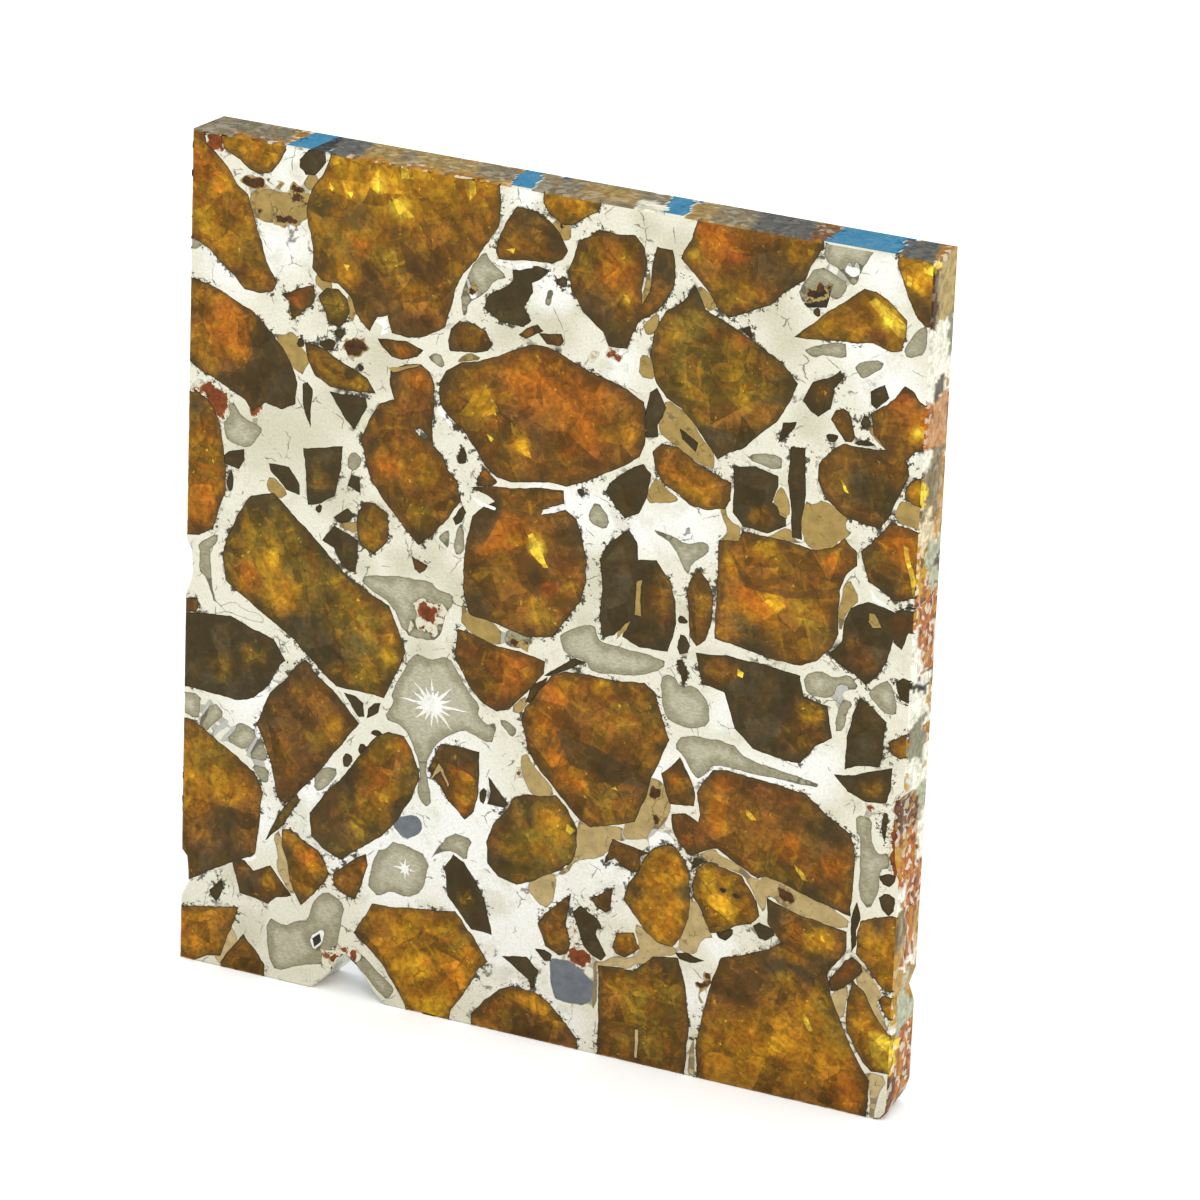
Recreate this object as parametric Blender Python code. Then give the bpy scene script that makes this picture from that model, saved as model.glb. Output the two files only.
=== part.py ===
"""Slice of a pallasite meteorite: a flat polished slab of iron-nickel metal with olivine crystals grown in it.

The slab stands on its sawn bottom edge. X runs along its width, Y through its thickness with the
photographed face towards -Y, and Z is up. The origin is the middle of the bottom edge.

Every outline is written in millimetres on the front face: u from the left edge, v from the bottom edge.
A crystal runs through the whole thickness, so each outline is lofted from the front face to the back
face, where it has wandered a little and narrowed, as a real crystal does from one face of a cut to the other.
"""
import math

import bmesh
import bpy
from mathutils import Vector

MM = 0.001
WIDTH = 57.0
HEIGHT = 64.0
THICKNESS = 4.0

# Clearance between a crystal and its pocket. Most is taken from the crystal, so that thin metal stays whole.
CRYSTAL_INSET = 0.2
POCKET_MARGIN = 0.1
# How far a cutter or an uncut edge crystal runs past the faces of the slab.
OVERSHOOT = 0.5
MITRE_LIMIT = 1.8

# The drift of the crystal boundaries between the front and the back face.
DRIFT_U = 0.55
DRIFT_V = 0.50
DRIFT_EDGE = 4.0
NARROWING = 0.05
NARROWING_SPREAD = 0.04

# The sawn outline, anticlockwise from the bottom left: a bite out of the bottom edge, a worn lower right
# corner, a chip in the right edge, and two shallow nicks in the left edge.
FRONT_OUTLINE = [
    (0.0, 0.0), (10.9, 0.0), (11.7, 0.7), (12.6, 1.7), (13.1, 2.8), (13.8, 3.2), (14.5, 2.8), (15.2, 1.9),
    (16.0, 0.9), (16.9, 0.0), (55.9, 0.0), (56.5, 0.15), (56.9, 0.6), (57.0, 1.3), (57.0, 8.0), (57.0, 9.2),
    (57.0, 10.6), (57.0, 18.6), (56.65, 20.0), (56.5, 22.2), (56.5, 24.4), (57.0, 25.4), (57.0, 64.0),
    (0.0, 64.0), (0.0, 33.0), (0.4, 32.3), (0.5, 30.6), (0.35, 29.8), (0.0, 28.8), (0.0, 8.7), (0.45, 8.2),
    (0.55, 7.2), (0.6, 6.2), (0.25, 5.5), (0.0, 5.0),
]
# The same points on the back face, where the bite is lower, the corner rounder and the right edge nicked.
BACK_OUTLINE = [
    (0.0, 0.0), (11.3, 0.0), (12.0, 0.7), (12.7, 1.5), (13.2, 2.4), (13.8, 2.8), (14.5, 2.5), (15.1, 1.7),
    (15.8, 0.8), (16.6, 0.0), (55.1, 0.0), (56.0, 0.3), (56.7, 1.0), (57.0, 2.0), (57.0, 8.0), (56.55, 9.2),
    (57.0, 10.6), (57.0, 18.6), (57.0, 20.0), (57.0, 22.2), (57.0, 24.4), (57.0, 25.4), (57.0, 64.0),
    (0.45, 64.0), (0.1, 33.0), (0.3, 32.3), (0.4, 30.6), (0.3, 29.8), (0.0, 28.8), (0.0, 8.7), (0.3, 8.2),
    (0.4, 7.2), (0.4, 6.2), (0.2, 5.5), (0.0, 5.0),
]

# The crystals, by colour. A letter is a band of the slab from the top down, and a number counts along it.
# Crystals that grew together share one outline, and an outline that runs past the slab is sawn off with it.
AMBER = {
    "a1": [(-1.0, 56.9), (-1.0, 65.0), (1.1, 65.0), (1.1, 63.0), (2.0, 62.4), (3.0, 61.4), (3.7, 60.4),
           (4.5, 59.8), (5.2, 57.7), (6.1, 55.2), (6.9, 53.7), (6.6, 53.1), (5.6, 52.8), (4.5, 52.9),
           (3.8, 53.5), (3.0, 54.2), (1.5, 55.4), (0.0, 56.3)],
    "a2": [(2.4, 65.0), (7.8, 65.0), (7.5, 63.9), (6.9, 62.6), (6.3, 61.9), (5.5, 61.6), (4.6, 61.9),
           (3.8, 62.5), (2.7, 63.0), (2.4, 63.7)],
    "a4": [(11.2, 65.0), (24.5, 65.0), (24.3, 62.4), (24.2, 61.0), (23.5, 59.8), (22.8, 58.6), (21.6, 57.0),
           (21.0, 55.8), (20.7, 54.4), (20.3, 52.9), (19.0, 52.0), (17.6, 51.6), (16.2, 51.7), (15.9, 53.0),
           (15.0, 52.7), (14.4, 51.5), (13.4, 52.6), (12.9, 53.8), (11.8, 54.6), (10.5, 54.7), (9.9, 55.4),
           (9.9, 56.6), (9.5, 58.4), (9.3, 59.6), (9.6, 61.0), (10.5, 62.3), (11.0, 63.4)],
    "a7": [(27.4, 65.0), (32.9, 65.0), (32.6, 63.9), (31.8, 63.3), (30.8, 62.7), (29.9, 62.1), (29.1, 61.9),
           (28.2, 62.5), (27.7, 63.2)],
    "a12": [(47.1, 56.9), (48.4, 58.1), (49.6, 59.2), (51.0, 60.3), (52.0, 61.1), (52.8, 61.1), (54.0, 60.4),
            (55.1, 59.4), (55.1, 58.3), (54.9, 57.3), (54.2, 57.1), (52.8, 57.5), (51.2, 57.3), (49.2, 57.1)],
    "a13": [(54.1, 65.0), (58.0, 65.0), (58.0, 59.2), (56.6, 59.3), (56.0, 59.8), (55.3, 60.9), (54.8, 62.2),
            (54.3, 63.4)],
    "c1": [(-1.0, 44.3), (0.7, 44.3), (1.5, 44.0), (2.1, 43.3), (2.5, 42.3), (2.9, 40.5), (3.1, 38.6),
           (3.1, 37.4), (2.6, 35.9), (2.1, 34.3), (1.0, 33.6), (0.0, 33.1), (-1.0, 32.9)],
    "f8": [(42.2, 16.8), (43.6, 16.6), (44.9, 16.3), (45.6, 15.4), (46.1, 14.6), (46.4, 13.6), (45.8, 12.9),
           (44.6, 12.5), (43.7, 11.8), (42.8, 11.5), (42.4, 12.2), (42.1, 12.9), (41.5, 13.8), (41.3, 14.9),
           (41.6, 16.1)],
    "f11": [(8.4, 12.0), (9.0, 12.1), (10.0, 11.5), (11.3, 10.9), (12.2, 9.4), (11.8, 8.6), (11.0, 7.6),
            (10.0, 6.5), (9.4, 7.5), (9.0, 8.8), (8.9, 9.7), (8.4, 10.8)],
    "f17": [(38.1, 16.9), (39.0, 17.4), (39.7, 17.4), (40.4, 16.5), (40.9, 15.4), (41.0, 13.8), (40.9, 12.2),
            (40.5, 10.8), (39.8, 9.8), (38.7, 9.9), (37.5, 10.7), (36.6, 11.8), (36.0, 12.5), (36.3, 13.8),
            (37.0, 15.0), (37.5, 16.1)],
    "f20": [(54.3, 14.9), (55.2, 15.3), (56.4, 15.7), (58.0, 15.9), (58.0, 10.0), (56.4, 10.1), (55.5, 10.8),
            (54.7, 11.8), (54.1, 12.3), (54.0, 13.6)],
    "h1": [(-1.0, 4.0), (0.6, 4.25), (2.2, 4.5), (4.7, 5.0), (4.4, 3.9), (3.9, 2.6), (3.4, 1.0), (2.2, 0.7),
           (1.1, 0.1), (1.0, -1.0), (-1.0, -1.0)],
    "h4": [(15.9, 7.7), (17.6, 7.85), (19.8, 8.15), (22.5, 8.6), (23.3, 7.8), (24.2, 6.8), (25.2, 5.3),
           (24.4, 4.5), (23.9, 3.3), (23.1, 1.9), (22.4, 0.8), (21.9, -1.0), (19.2, -1.0), (18.8, 0.4),
           (17.8, 1.9), (16.8, 3.3), (15.7, 4.3), (14.5, 5.2), (15.2, 6.5)],
    "h9": [(53.9, 10.1), (54.6, 9.6), (55.2, 8.6), (55.8, 7.7), (56.7, 6.7), (58.0, 6.4), (58.0, 3.6),
           (55.6, 3.7), (54.9, 4.3), (54.3, 5.2), (53.7, 6.3), (53.5, 7.2), (53.6, 8.6)],
}
ORANGE = {
    "b8": [(16.3, 48.9), (17.2, 49.4), (18.5, 49.7), (19.2, 49.2), (19.6, 48.4), (19.6, 46.8), (19.5, 45.2),
           (19.6, 43.9), (20.4, 43.2), (20.9, 42.2), (21.6, 41.6), (21.9, 40.2), (20.9, 38.6), (19.8, 37.3),
           (18.8, 36.3), (17.6, 37.4), (16.3, 38.7), (15.0, 40.3), (14.5, 41.6), (14.1, 43.4), (14.6, 44.8),
           (15.4, 46.2), (16.6, 46.7), (16.2, 47.8)],
    "b12": [(54.1, 53.2), (54.7, 53.8), (55.3, 54.7), (55.9, 54.4), (56.4, 53.8), (58.0, 53.2), (58.0, 50.5),
            (56.4, 50.3), (55.6, 49.5), (55.9, 48.5), (55.2, 46.9), (54.6, 45.2), (54.0, 44.3), (52.6, 44.4),
            (51.2, 44.8), (49.9, 45.8), (49.3, 46.8), (49.3, 48.0), (50.2, 49.2), (51.1, 49.8), (53.6, 49.8),
            (54.3, 50.0), (53.3, 51.0), (53.0, 52.4)],
    "c6": [(20.1, 48.7), (20.6, 49.6), (21.6, 50.3), (23.0, 50.7), (24.4, 51.3), (25.8, 52.0), (27.2, 52.7),
           (28.4, 52.7), (30.4, 52.0), (32.2, 51.3), (34.0, 50.9), (35.8, 50.1), (36.0, 48.6), (36.0, 47.2),
           (35.7, 46.1), (34.7, 45.35), (33.1, 44.4), (31.6, 43.5), (30.2, 42.9), (28.8, 42.9), (27.4, 42.6),
           (25.9, 42.4), (24.8, 42.5), (23.8, 43.2), (23.2, 44.2), (22.3, 45.3), (21.0, 46.3), (20.2, 47.2)],
    "c7": [(23.0, 41.3), (24.2, 41.6), (26.0, 41.8), (28.4, 42.25), (29.9, 42.4), (30.0, 41.5), (28.6, 40.9),
           (30.1, 41.0), (31.0, 40.5), (31.5, 39.2), (31.9, 37.5), (31.9, 36.0), (31.5, 34.5), (30.4, 32.8),
           (29.5, 31.4), (27.6, 31.0), (25.2, 31.5), (23.0, 31.8), (22.5, 33.2), (22.4, 35.0), (22.6, 37.4),
           (23.0, 39.2), (23.8, 40.0), (24.8, 40.6), (24.2, 41.0)],
    "c8": [(36.8, 46.6), (37.4, 47.2), (38.6, 47.2), (39.7, 46.6), (40.9, 46.0), (42.7, 45.4), (42.7, 44.2),
           (42.3, 43.5), (41.0, 43.2), (39.8, 43.3), (38.9, 43.9), (37.7, 44.5), (37.0, 45.5)],
    "c15": [(54.9, 44.8), (56.4, 44.5), (58.0, 44.2), (58.0, 39.9), (56.6, 39.7), (55.4, 39.3), (54.4, 39.8),
            (53.4, 40.3), (53.0, 41.5), (52.8, 42.3), (53.6, 43.1), (54.3, 44.0)],
    "d6": [(22.1, 30.4), (23.4, 30.2), (25.4, 29.7), (27.0, 29.7), (28.9, 29.4), (28.9, 28.5), (28.0, 27.3),
           (27.0, 26.1), (26.2, 25.2), (25.4, 24.9), (24.3, 25.3), (23.3, 26.2), (22.6, 27.3), (22.0, 28.2)],
    "d9": [(42.1, 41.0), (43.6, 41.2), (43.8, 42.0), (46.0, 42.0), (49.4, 41.7), (50.6, 42.1), (51.4, 42.9),
           (52.3, 42.2), (52.4, 41.2), (51.6, 40.4), (51.2, 39.0), (51.2, 37.2), (51.3, 36.0), (50.7, 34.7),
           (49.8, 33.7), (48.6, 33.1), (46.8, 33.1), (44.6, 33.5), (42.1, 33.8)],
    "e7": [(27.6, 25.4), (28.6, 26.9), (29.6, 28.3), (30.6, 28.9), (32.8, 29.0), (35.0, 29.0), (36.8, 29.3),
           (37.6, 28.7), (38.0, 27.4), (38.8, 25.5), (38.3, 24.1), (37.6, 22.3), (37.1, 20.5), (36.4, 18.7),
           (35.0, 18.2), (33.1, 17.6), (32.3, 17.9), (31.2, 18.9), (30.0, 20.1), (28.9, 21.1), (28.1, 22.2),
           (27.8, 23.3), (27.4, 24.6)],
    "e8": [(42.4, 23.8), (43.4, 24.0), (45.8, 23.9), (49.5, 23.5), (50.4, 22.9), (51.1, 22.3), (52.9, 21.3),
           (53.4, 20.3), (53.4, 18.0), (53.3, 15.2), (50.2, 15.9), (48.6, 16.4), (46.8, 16.8), (46.2, 16.5),
           (44.2, 17.4), (43.0, 18.1), (42.0, 17.7), (40.9, 17.1), (40.0, 17.9), (39.5, 18.8), (39.4, 19.8),
           (40.4, 20.1), (41.5, 19.6), (41.6, 20.3), (41.3, 21.9), (41.8, 23.0)],
    "f6": [(39.8, 24.2), (40.3, 23.4), (41.0, 21.9), (41.0, 20.9), (39.2, 20.7), (38.8, 21.8), (38.5, 22.8),
           (39.2, 23.4)],
}
BROWN = {
    "a6": [(24.9, 61.3), (25.7, 62.5), (27.0, 62.4), (28.1, 61.9), (29.0, 61.1), (29.6, 60.1), (29.2, 59.4),
           (28.4, 58.95), (27.0, 58.95), (25.4, 58.65), (24.4, 58.6), (24.2, 59.2), (24.5, 60.4)],
    "a8": [(30.5, 60.9), (31.2, 61.2), (32.0, 61.9), (33.4, 61.8), (34.7, 62.0), (35.4, 61.2), (35.6, 60.2),
           (35.3, 58.2), (35.4, 57.0), (36.1, 58.2), (36.2, 60.4), (36.5, 61.4), (37.5, 61.4), (37.8, 60.3),
           (37.7, 58.8), (37.0, 57.5), (36.2, 56.6), (35.2, 56.0), (34.7, 54.9), (34.4, 53.8), (33.1, 53.7),
           (32.6, 54.7), (31.1, 55.8), (30.1, 57.3), (29.8, 58.6), (30.3, 60.0)],
    "a10": [(38.3, 61.0), (39.1, 62.7), (39.9, 65.0), (49.0, 65.0), (48.7, 63.5), (47.9, 62.2), (47.5, 61.1),
            (46.0, 60.0), (45.0, 58.9), (43.3, 58.1), (42.0, 57.4), (41.2, 57.9), (40.6, 58.9), (39.3, 60.1)],
    "b1": [(-1.0, 53.7), (1.5, 52.7), (3.0, 52.1), (5.0, 51.3), (6.4, 50.1), (7.5, 48.9), (8.3, 47.7),
           (8.7, 46.6), (8.6, 45.0), (7.6, 44.5), (6.2, 44.7), (5.2, 43.9), (4.6, 44.6), (2.4, 45.7),
           (1.0, 46.2), (0.0, 46.9), (-1.0, 47.5)],
    "b2": [(9.4, 49.7), (10.8, 49.5), (12.4, 48.7), (14.3, 47.9), (14.9, 47.0), (13.6, 46.85), (11.5, 46.85),
           (10.2, 47.5), (9.6, 48.5)],
    "b7": [(15.2, 51.0), (17.4, 51.2), (18.6, 50.8), (18.2, 50.3), (17.0, 49.9), (16.2, 50.0), (15.6, 50.5)],
    "b9": [(20.8, 52.7), (21.5, 53.4), (22.7, 53.4), (23.5, 53.0), (24.0, 52.2), (23.7, 51.7), (22.8, 51.4),
           (20.9, 51.2), (20.7, 51.8)],
    "d10": [(40.6, 38.5), (41.3, 37.8), (41.7, 36.8), (41.7, 35.0), (41.3, 33.5), (40.7, 33.0), (40.2, 33.6),
            (40.0, 35.2), (39.8, 36.8), (40.1, 37.8)],
    "e1": [(10.0, 25.6), (10.7, 24.7), (12.2, 23.7), (13.4, 22.6), (14.3, 21.6), (13.2, 20.1), (11.9, 18.3),
           (10.6, 16.5), (9.4, 15.2), (8.5, 14.2), (7.9, 14.6), (7.5, 16.7), (6.8, 18.5), (6.2, 19.9),
           (6.7, 21.4), (7.1, 22.4), (8.4, 23.8), (9.3, 25.0)],
    "e6": [(21.0, 21.3), (22.8, 21.5), (24.05, 21.4), (24.05, 18.3), (23.7, 16.8), (23.1, 16.1), (21.8, 17.2),
           (20.9, 18.4), (20.2, 19.3), (20.6, 20.4)],
    "f1": [(-1.0, 19.8), (0.6, 19.1), (2.8, 17.9), (4.6, 16.9), (5.9, 16.0), (6.6, 14.6), (6.4, 12.4),
           (6.1, 9.7), (5.2, 9.0), (6.0, 8.2), (7.4, 8.9), (8.1, 8.1), (9.1, 7.0), (7.9, 6.6), (7.3, 6.0),
           (5.0, 6.4), (4.7, 7.6), (4.3, 8.7), (2.6, 7.7), (0.9, 6.6), (-1.0, 5.7)],
    "h2": [(5.3, 2.9), (6.3, 1.9), (7.0, 1.0), (7.2, -1.0), (3.0, -1.0), (3.5, 0.4), (4.4, 1.7)],
    "h3": [(12.7, 9.4), (13.5, 10.2), (14.7, 11.2), (15.2, 11.5), (15.3, 10.8), (14.9, 9.2), (14.4, 7.9),
           (13.2, 8.2), (12.7, 8.6)],
    "h5": [(23.9, -1.0), (24.2, 0.9), (25.2, 2.2), (26.3, 3.2), (27.4, 3.8), (29.0, 3.7), (30.2, 3.2),
           (31.5, 2.0), (32.6, 0.8), (33.4, -1.0)],
    "h6": [(34.2, 6.9), (36.0, 7.2), (36.9, 7.1), (38.4, 8.6), (40.3, 8.9), (40.9, 7.0), (41.3, 4.4),
           (41.4, -1.0), (34.2, -1.0)],
    "h8": [(42.1, -1.0), (42.1, 3.0), (42.6, 5.6), (43.1, 8.0), (43.7, 9.7), (45.4, 10.3), (47.4, 11.2),
           (48.3, 12.0), (47.2, 13.2), (47.0, 15.0), (49.0, 14.4), (50.8, 14.1), (53.1, 13.8), (53.1, 12.3),
           (51.8, 10.4), (52.1, 8.8), (53.1, 6.7), (54.0, 4.9), (54.6, 3.9), (55.4, 2.9), (55.6, -1.0)],
}
OLIVE = {
    "a11": [(39.4, 59.1), (38.7, 58.0), (37.3, 56.9), (36.6, 55.5), (36.3, 53.6), (36.7, 51.9), (37.6, 50.8),
            (38.8, 50.2), (40.0, 49.0), (40.9, 48.0), (41.7, 47.1), (42.4, 47.7), (43.5, 48.2), (44.8, 49.5),
            (46.0, 50.7), (46.8, 52.2), (47.3, 53.6), (46.0, 54.8), (44.4, 55.7), (42.3, 56.7), (40.2, 57.6)],
    "d2": [(13.9, 37.4), (14.3, 38.5), (15.2, 38.6), (16.1, 38.1), (16.3, 37.0), (16.2, 36.0), (15.2, 34.9),
           (14.3, 35.3), (13.9, 36.3)],
    "d3": [(7.0, 37.9), (8.3, 36.8), (10.2, 35.3), (11.6, 34.0), (13.0, 32.7), (14.8, 31.8), (16.5, 31.1),
           (17.2, 29.6), (17.9, 27.9), (17.2, 26.1), (16.3, 24.1), (14.6, 24.2), (12.5, 24.2), (11.0, 25.4),
           (9.0, 27.1), (6.8, 28.4), (4.4, 29.9), (3.4, 30.6), (3.1, 32.2), (3.4, 33.8), (4.4, 35.9),
           (5.3, 37.3)],
    "e2": [(15.8, 20.8), (16.8, 21.4), (17.9, 21.3), (18.7, 20.4), (19.3, 18.6), (18.8, 16.9), (17.7, 14.9),
           (16.2, 13.1), (14.2, 11.6), (13.2, 10.8), (11.8, 11.3), (10.8, 12.1), (10.6, 13.8), (12.0, 15.7),
           (13.4, 17.4), (14.7, 19.3)],
    "f5": [(25.4, 16.0), (26.3, 17.2), (26.9, 18.3), (27.9, 18.9), (29.0, 19.0), (30.3, 19.3), (31.2, 18.4),
           (31.9, 17.2), (32.0, 15.9), (31.7, 14.6), (30.4, 13.6), (29.0, 12.7), (27.4, 11.9), (26.0, 12.2),
           (25.1, 13.0), (25.0, 14.6)],
}
DARK = {
    "b3": [(11.5, 46.35), (14.2, 46.4), (14.3, 45.8), (13.4, 44.0), (12.5, 44.9)],
    "b14": [(25.6, 58.2), (27.4, 58.5), (28.2, 58.3), (27.6, 57.7), (26.9, 57.3), (27.0, 56.6), (26.3, 55.4),
            (26.9, 54.5), (26.4, 54.0), (24.8, 54.0), (23.4, 54.8), (23.7, 55.7), (25.0, 56.5), (25.6, 57.2)],
    "c4": [(9.5, 41.7), (11.2, 42.1), (12.5, 42.4), (12.3, 40.6), (11.9, 38.7), (10.9, 38.0), (9.9, 37.6),
           (9.7, 39.4)],
    "c9": [(33.3, 43.0), (33.8, 43.9), (34.8, 44.8), (36.0, 45.5), (36.6, 44.9), (36.3, 43.2), (35.8, 42.0),
           (34.8, 41.4), (34.0, 42.1)],
    "c10": [(43.0, 46.6), (44.6, 46.9), (46.2, 46.5), (46.2, 45.8), (45.8, 44.6), (46.9, 43.9), (47.0, 43.1),
            (45.6, 42.4), (43.8, 42.5), (43.0, 43.4), (43.1, 45.2)],
    "c12": [(47.2, 48.8), (48.1, 48.9), (48.2, 47.2), (48.3, 45.6), (48.1, 43.4), (48.2, 42.4), (47.6, 42.4),
            (47.4, 44.4), (47.1, 46.4)],
    "d4": [(-1.0, 27.1), (1.6, 27.6), (3.8, 27.8), (5.4, 27.2), (7.3, 26.7), (8.2, 25.3), (7.3, 24.0),
           (6.9, 23.1), (5.7, 21.9), (4.4, 21.5), (-1.0, 21.5)],
    "d7": [(35.1, 40.4), (35.7, 39.7), (35.9, 38.3), (36.6, 38.5), (37.3, 38.6), (38.4, 37.3), (38.8, 35.9),
           (39.0, 34.3), (38.4, 32.1), (36.4, 32.0), (35.0, 32.5), (35.3, 33.7), (34.3, 32.5), (33.5, 32.2),
           (33.2, 33.6), (33.3, 35.8), (33.1, 37.8), (33.5, 39.0)],
    "d11": [(50.9, 34.4), (51.7, 35.5), (51.8, 36.9), (52.2, 38.0), (53.5, 38.7), (55.4, 38.3), (56.6, 39.0),
            (58.0, 39.2), (58.0, 37.4), (56.5, 37.1), (56.1, 35.8), (55.4, 36.3), (55.0, 34.6), (54.3, 33.5),
            (53.6, 32.7), (52.6, 33.4), (51.4, 33.9)],
    "d12": [(40.7, 32.3), (43.0, 32.6), (45.6, 32.5), (48.6, 32.2), (48.9, 30.8), (50.8, 30.4), (51.0, 29.2),
            (51.2, 28.2), (50.0, 27.3), (48.9, 25.8), (47.0, 25.9), (45.4, 26.2), (44.0, 27.4), (43.4, 29.0),
            (43.0, 30.0), (41.3, 30.2)],
    "e4": [(53.3, 31.5), (54.2, 31.0), (55.2, 30.2), (55.1, 28.2), (54.9, 26.8), (53.4, 26.6), (52.4, 26.2),
           (52.5, 28.4), (52.8, 30.2)],
    "e9": [(51.7, 25.5), (53.2, 25.7), (54.4, 26.2), (55.9, 26.8), (55.8, 25.2), (55.5, 24.2), (54.2, 24.0),
           (52.7, 24.5)],
    "f12": [(22.3, 13.0), (23.1, 12.6), (24.1, 11.3), (24.7, 10.3), (25.1, 9.0), (25.5, 7.6), (24.0, 7.6),
            (23.0, 8.6), (22.0, 9.8), (21.7, 11.9)],
}


class Finish:
    """Colour, roughness and metallic value of one kind of piece."""

    def __init__(self, colour, roughness, metallic, transmission=0.0):
        self.colour = colour
        self.roughness = roughness
        self.metallic = metallic
        self.transmission = transmission


METAL = Finish((0.78, 0.76, 0.70), 0.25, 1.0)
CRYSTAL_KINDS = [
    ("amber", AMBER, Finish((0.55, 0.27, 0.04), 0.12, 0.0, 0.6)),
    ("orange", ORANGE, Finish((0.36, 0.13, 0.03), 0.12, 0.0, 0.6)),
    ("brown", BROWN, Finish((0.24, 0.12, 0.04), 0.12, 0.0, 0.6)),
    ("olive", OLIVE, Finish((0.20, 0.14, 0.04), 0.12, 0.0, 0.6)),
    ("dark", DARK, Finish((0.06, 0.05, 0.03), 0.12, 0.0, 0.4)),
]
OLIVINE_IOR = 1.67


def clear_scene():
    """Remove whatever the new scene starts with."""
    for old in list(bpy.data.objects):
        bpy.data.objects.remove(old, do_unlink=True)


def make_material(name, finish):
    """A Principled material for one piece."""
    material = bpy.data.materials.new(name)
    material.use_nodes = True
    shader = material.node_tree.nodes["Principled BSDF"]
    shader.inputs["Base Color"].default_value = (*finish.colour, 1.0)
    shader.inputs["Roughness"].default_value = finish.roughness
    shader.inputs["Metallic"].default_value = finish.metallic
    shader.inputs["Transmission Weight"].default_value = finish.transmission
    shader.inputs["IOR"].default_value = OLIVINE_IOR
    return material


def signed_area(outline):
    """Twice the area of an outline, positive when it runs anticlockwise."""
    total = 0.0
    for (u0, v0), (u1, v1) in zip(outline, outline[1:] + outline[:1]):
        total += u0 * v1 - u1 * v0
    return total


def anticlockwise(outline):
    """The outline's points in anticlockwise order."""
    return list(outline) if signed_area(outline) > 0.0 else list(reversed(outline))


def grown(outline, distance):
    """The outline moved outwards by a distance, or inwards where it is negative."""
    moved = []
    count = len(outline)
    for index, point in enumerate(outline):
        here = Vector(point)
        before = here - Vector(outline[index - 1])
        after = Vector(outline[(index + 1) % count]) - here
        normal_before = Vector((before.y, -before.x)).normalized()
        normal_after = Vector((after.y, -after.x)).normalized()
        middle = (normal_before + normal_after).normalized()
        stretch = min(1.0 / max(middle.dot(normal_after), 0.1), MITRE_LIMIT)
        moved.append(tuple(here + middle * distance * stretch))
    return moved


def on_slab(outline):
    """Whether no point of the outline runs past the sawn edges."""
    return all(0.0 < u < WIDTH and 0.0 < v < HEIGHT for u, v in outline)


def drifted(u, v):
    """Where a boundary point of the front face comes out on the back face."""
    to_edge = min(u, WIDTH - u, v, HEIGHT - v)
    share = min(max(to_edge / DRIFT_EDGE, 0.0), 1.0)
    across = DRIFT_U * math.sin(math.tau * (u / 23.0 + v / 41.0) + 0.6)
    along = DRIFT_V * math.sin(math.tau * (v / 19.0 - u / 37.0) + 1.9)
    return u + share * across, v + share * along


def narrowed(outline, amount):
    """The outline shrunk about its own middle by a share of its size."""
    middle_u = sum(u for u, v in outline) / len(outline)
    middle_v = sum(v for u, v in outline) / len(outline)
    keep = 1.0 - amount
    return [(middle_u + (u - middle_u) * keep, middle_v + (v - middle_v) * keep) for u, v in outline]


def narrowing_of(outline, index):
    """How much a crystal closes in towards the back; one on a sawn edge keeps its width."""
    if not on_slab(outline):
        return 0.0
    return NARROWING + NARROWING_SPREAD * math.sin(2.4 * index)


def loft(name, front, back, overshoot=0.0):
    """A closed body between an outline on the front face and one on the back face.

    With an overshoot the walls are carried on past both faces in their own direction.
    """
    mesh = bpy.data.meshes.new(name)
    bm = bmesh.new()
    rings = []
    for depth in (-overshoot, THICKNESS + overshoot):
        share = depth / THICKNESS
        ring = []
        for (u0, v0), (u1, v1) in zip(front, back):
            u = u0 + (u1 - u0) * share
            v = v0 + (v1 - v0) * share
            y = depth - THICKNESS / 2.0
            ring.append(bm.verts.new(((u - WIDTH / 2.0) * MM, y * MM, v * MM)))
        rings.append(ring)
    near, far = rings
    count = len(near)
    bm.faces.new(near)
    bm.faces.new(list(reversed(far)))
    for index in range(count):
        following = (index + 1) % count
        bm.faces.new((near[following], near[index], far[index], far[following]))
    bmesh.ops.recalc_face_normals(bm, faces=bm.faces[:])
    bm.to_mesh(mesh)
    bm.free()
    body = bpy.data.objects.new(name, mesh)
    bpy.context.scene.collection.objects.link(body)
    return body


def as_guide(body):
    """Keep a body out of the finished part: it only cuts or trims others."""
    body.hide_render = True
    body.display_type = "WIRE"
    return body


def boolean(target, tool, operation):
    """Cut or trim a body by another with the exact solver."""
    modifier = target.modifiers.new(tool.name, "BOOLEAN")
    modifier.solver = "EXACT"
    modifier.operation = operation
    modifier.object = tool


def crystal_walls(outline, index, clearance):
    """Front and back outlines of a crystal, or of its pocket, moved outwards by a clearance."""
    front = anticlockwise(outline)
    back = narrowed([drifted(u, v) for u, v in front], narrowing_of(outline, index))
    return grown(front, clearance), grown(back, clearance)


def make_crystal(name, outline, index, finish, slab):
    """One olivine crystal, sawn off with the slab where it meets an edge."""
    front, back = crystal_walls(outline, index, -CRYSTAL_INSET)
    inside = on_slab(outline)
    crystal = loft(name, front, back, 0.0 if inside else OVERSHOOT)
    if not inside:
        boolean(crystal, slab, "INTERSECT")
    crystal.data.materials.append(make_material(name, finish))
    return crystal


def make_pocket(name, outline, index):
    """The cutter that leaves room for one crystal in the metal."""
    front, back = crystal_walls(outline, index, POCKET_MARGIN)
    return as_guide(loft(name, front, back, OVERSHOOT))


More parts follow.
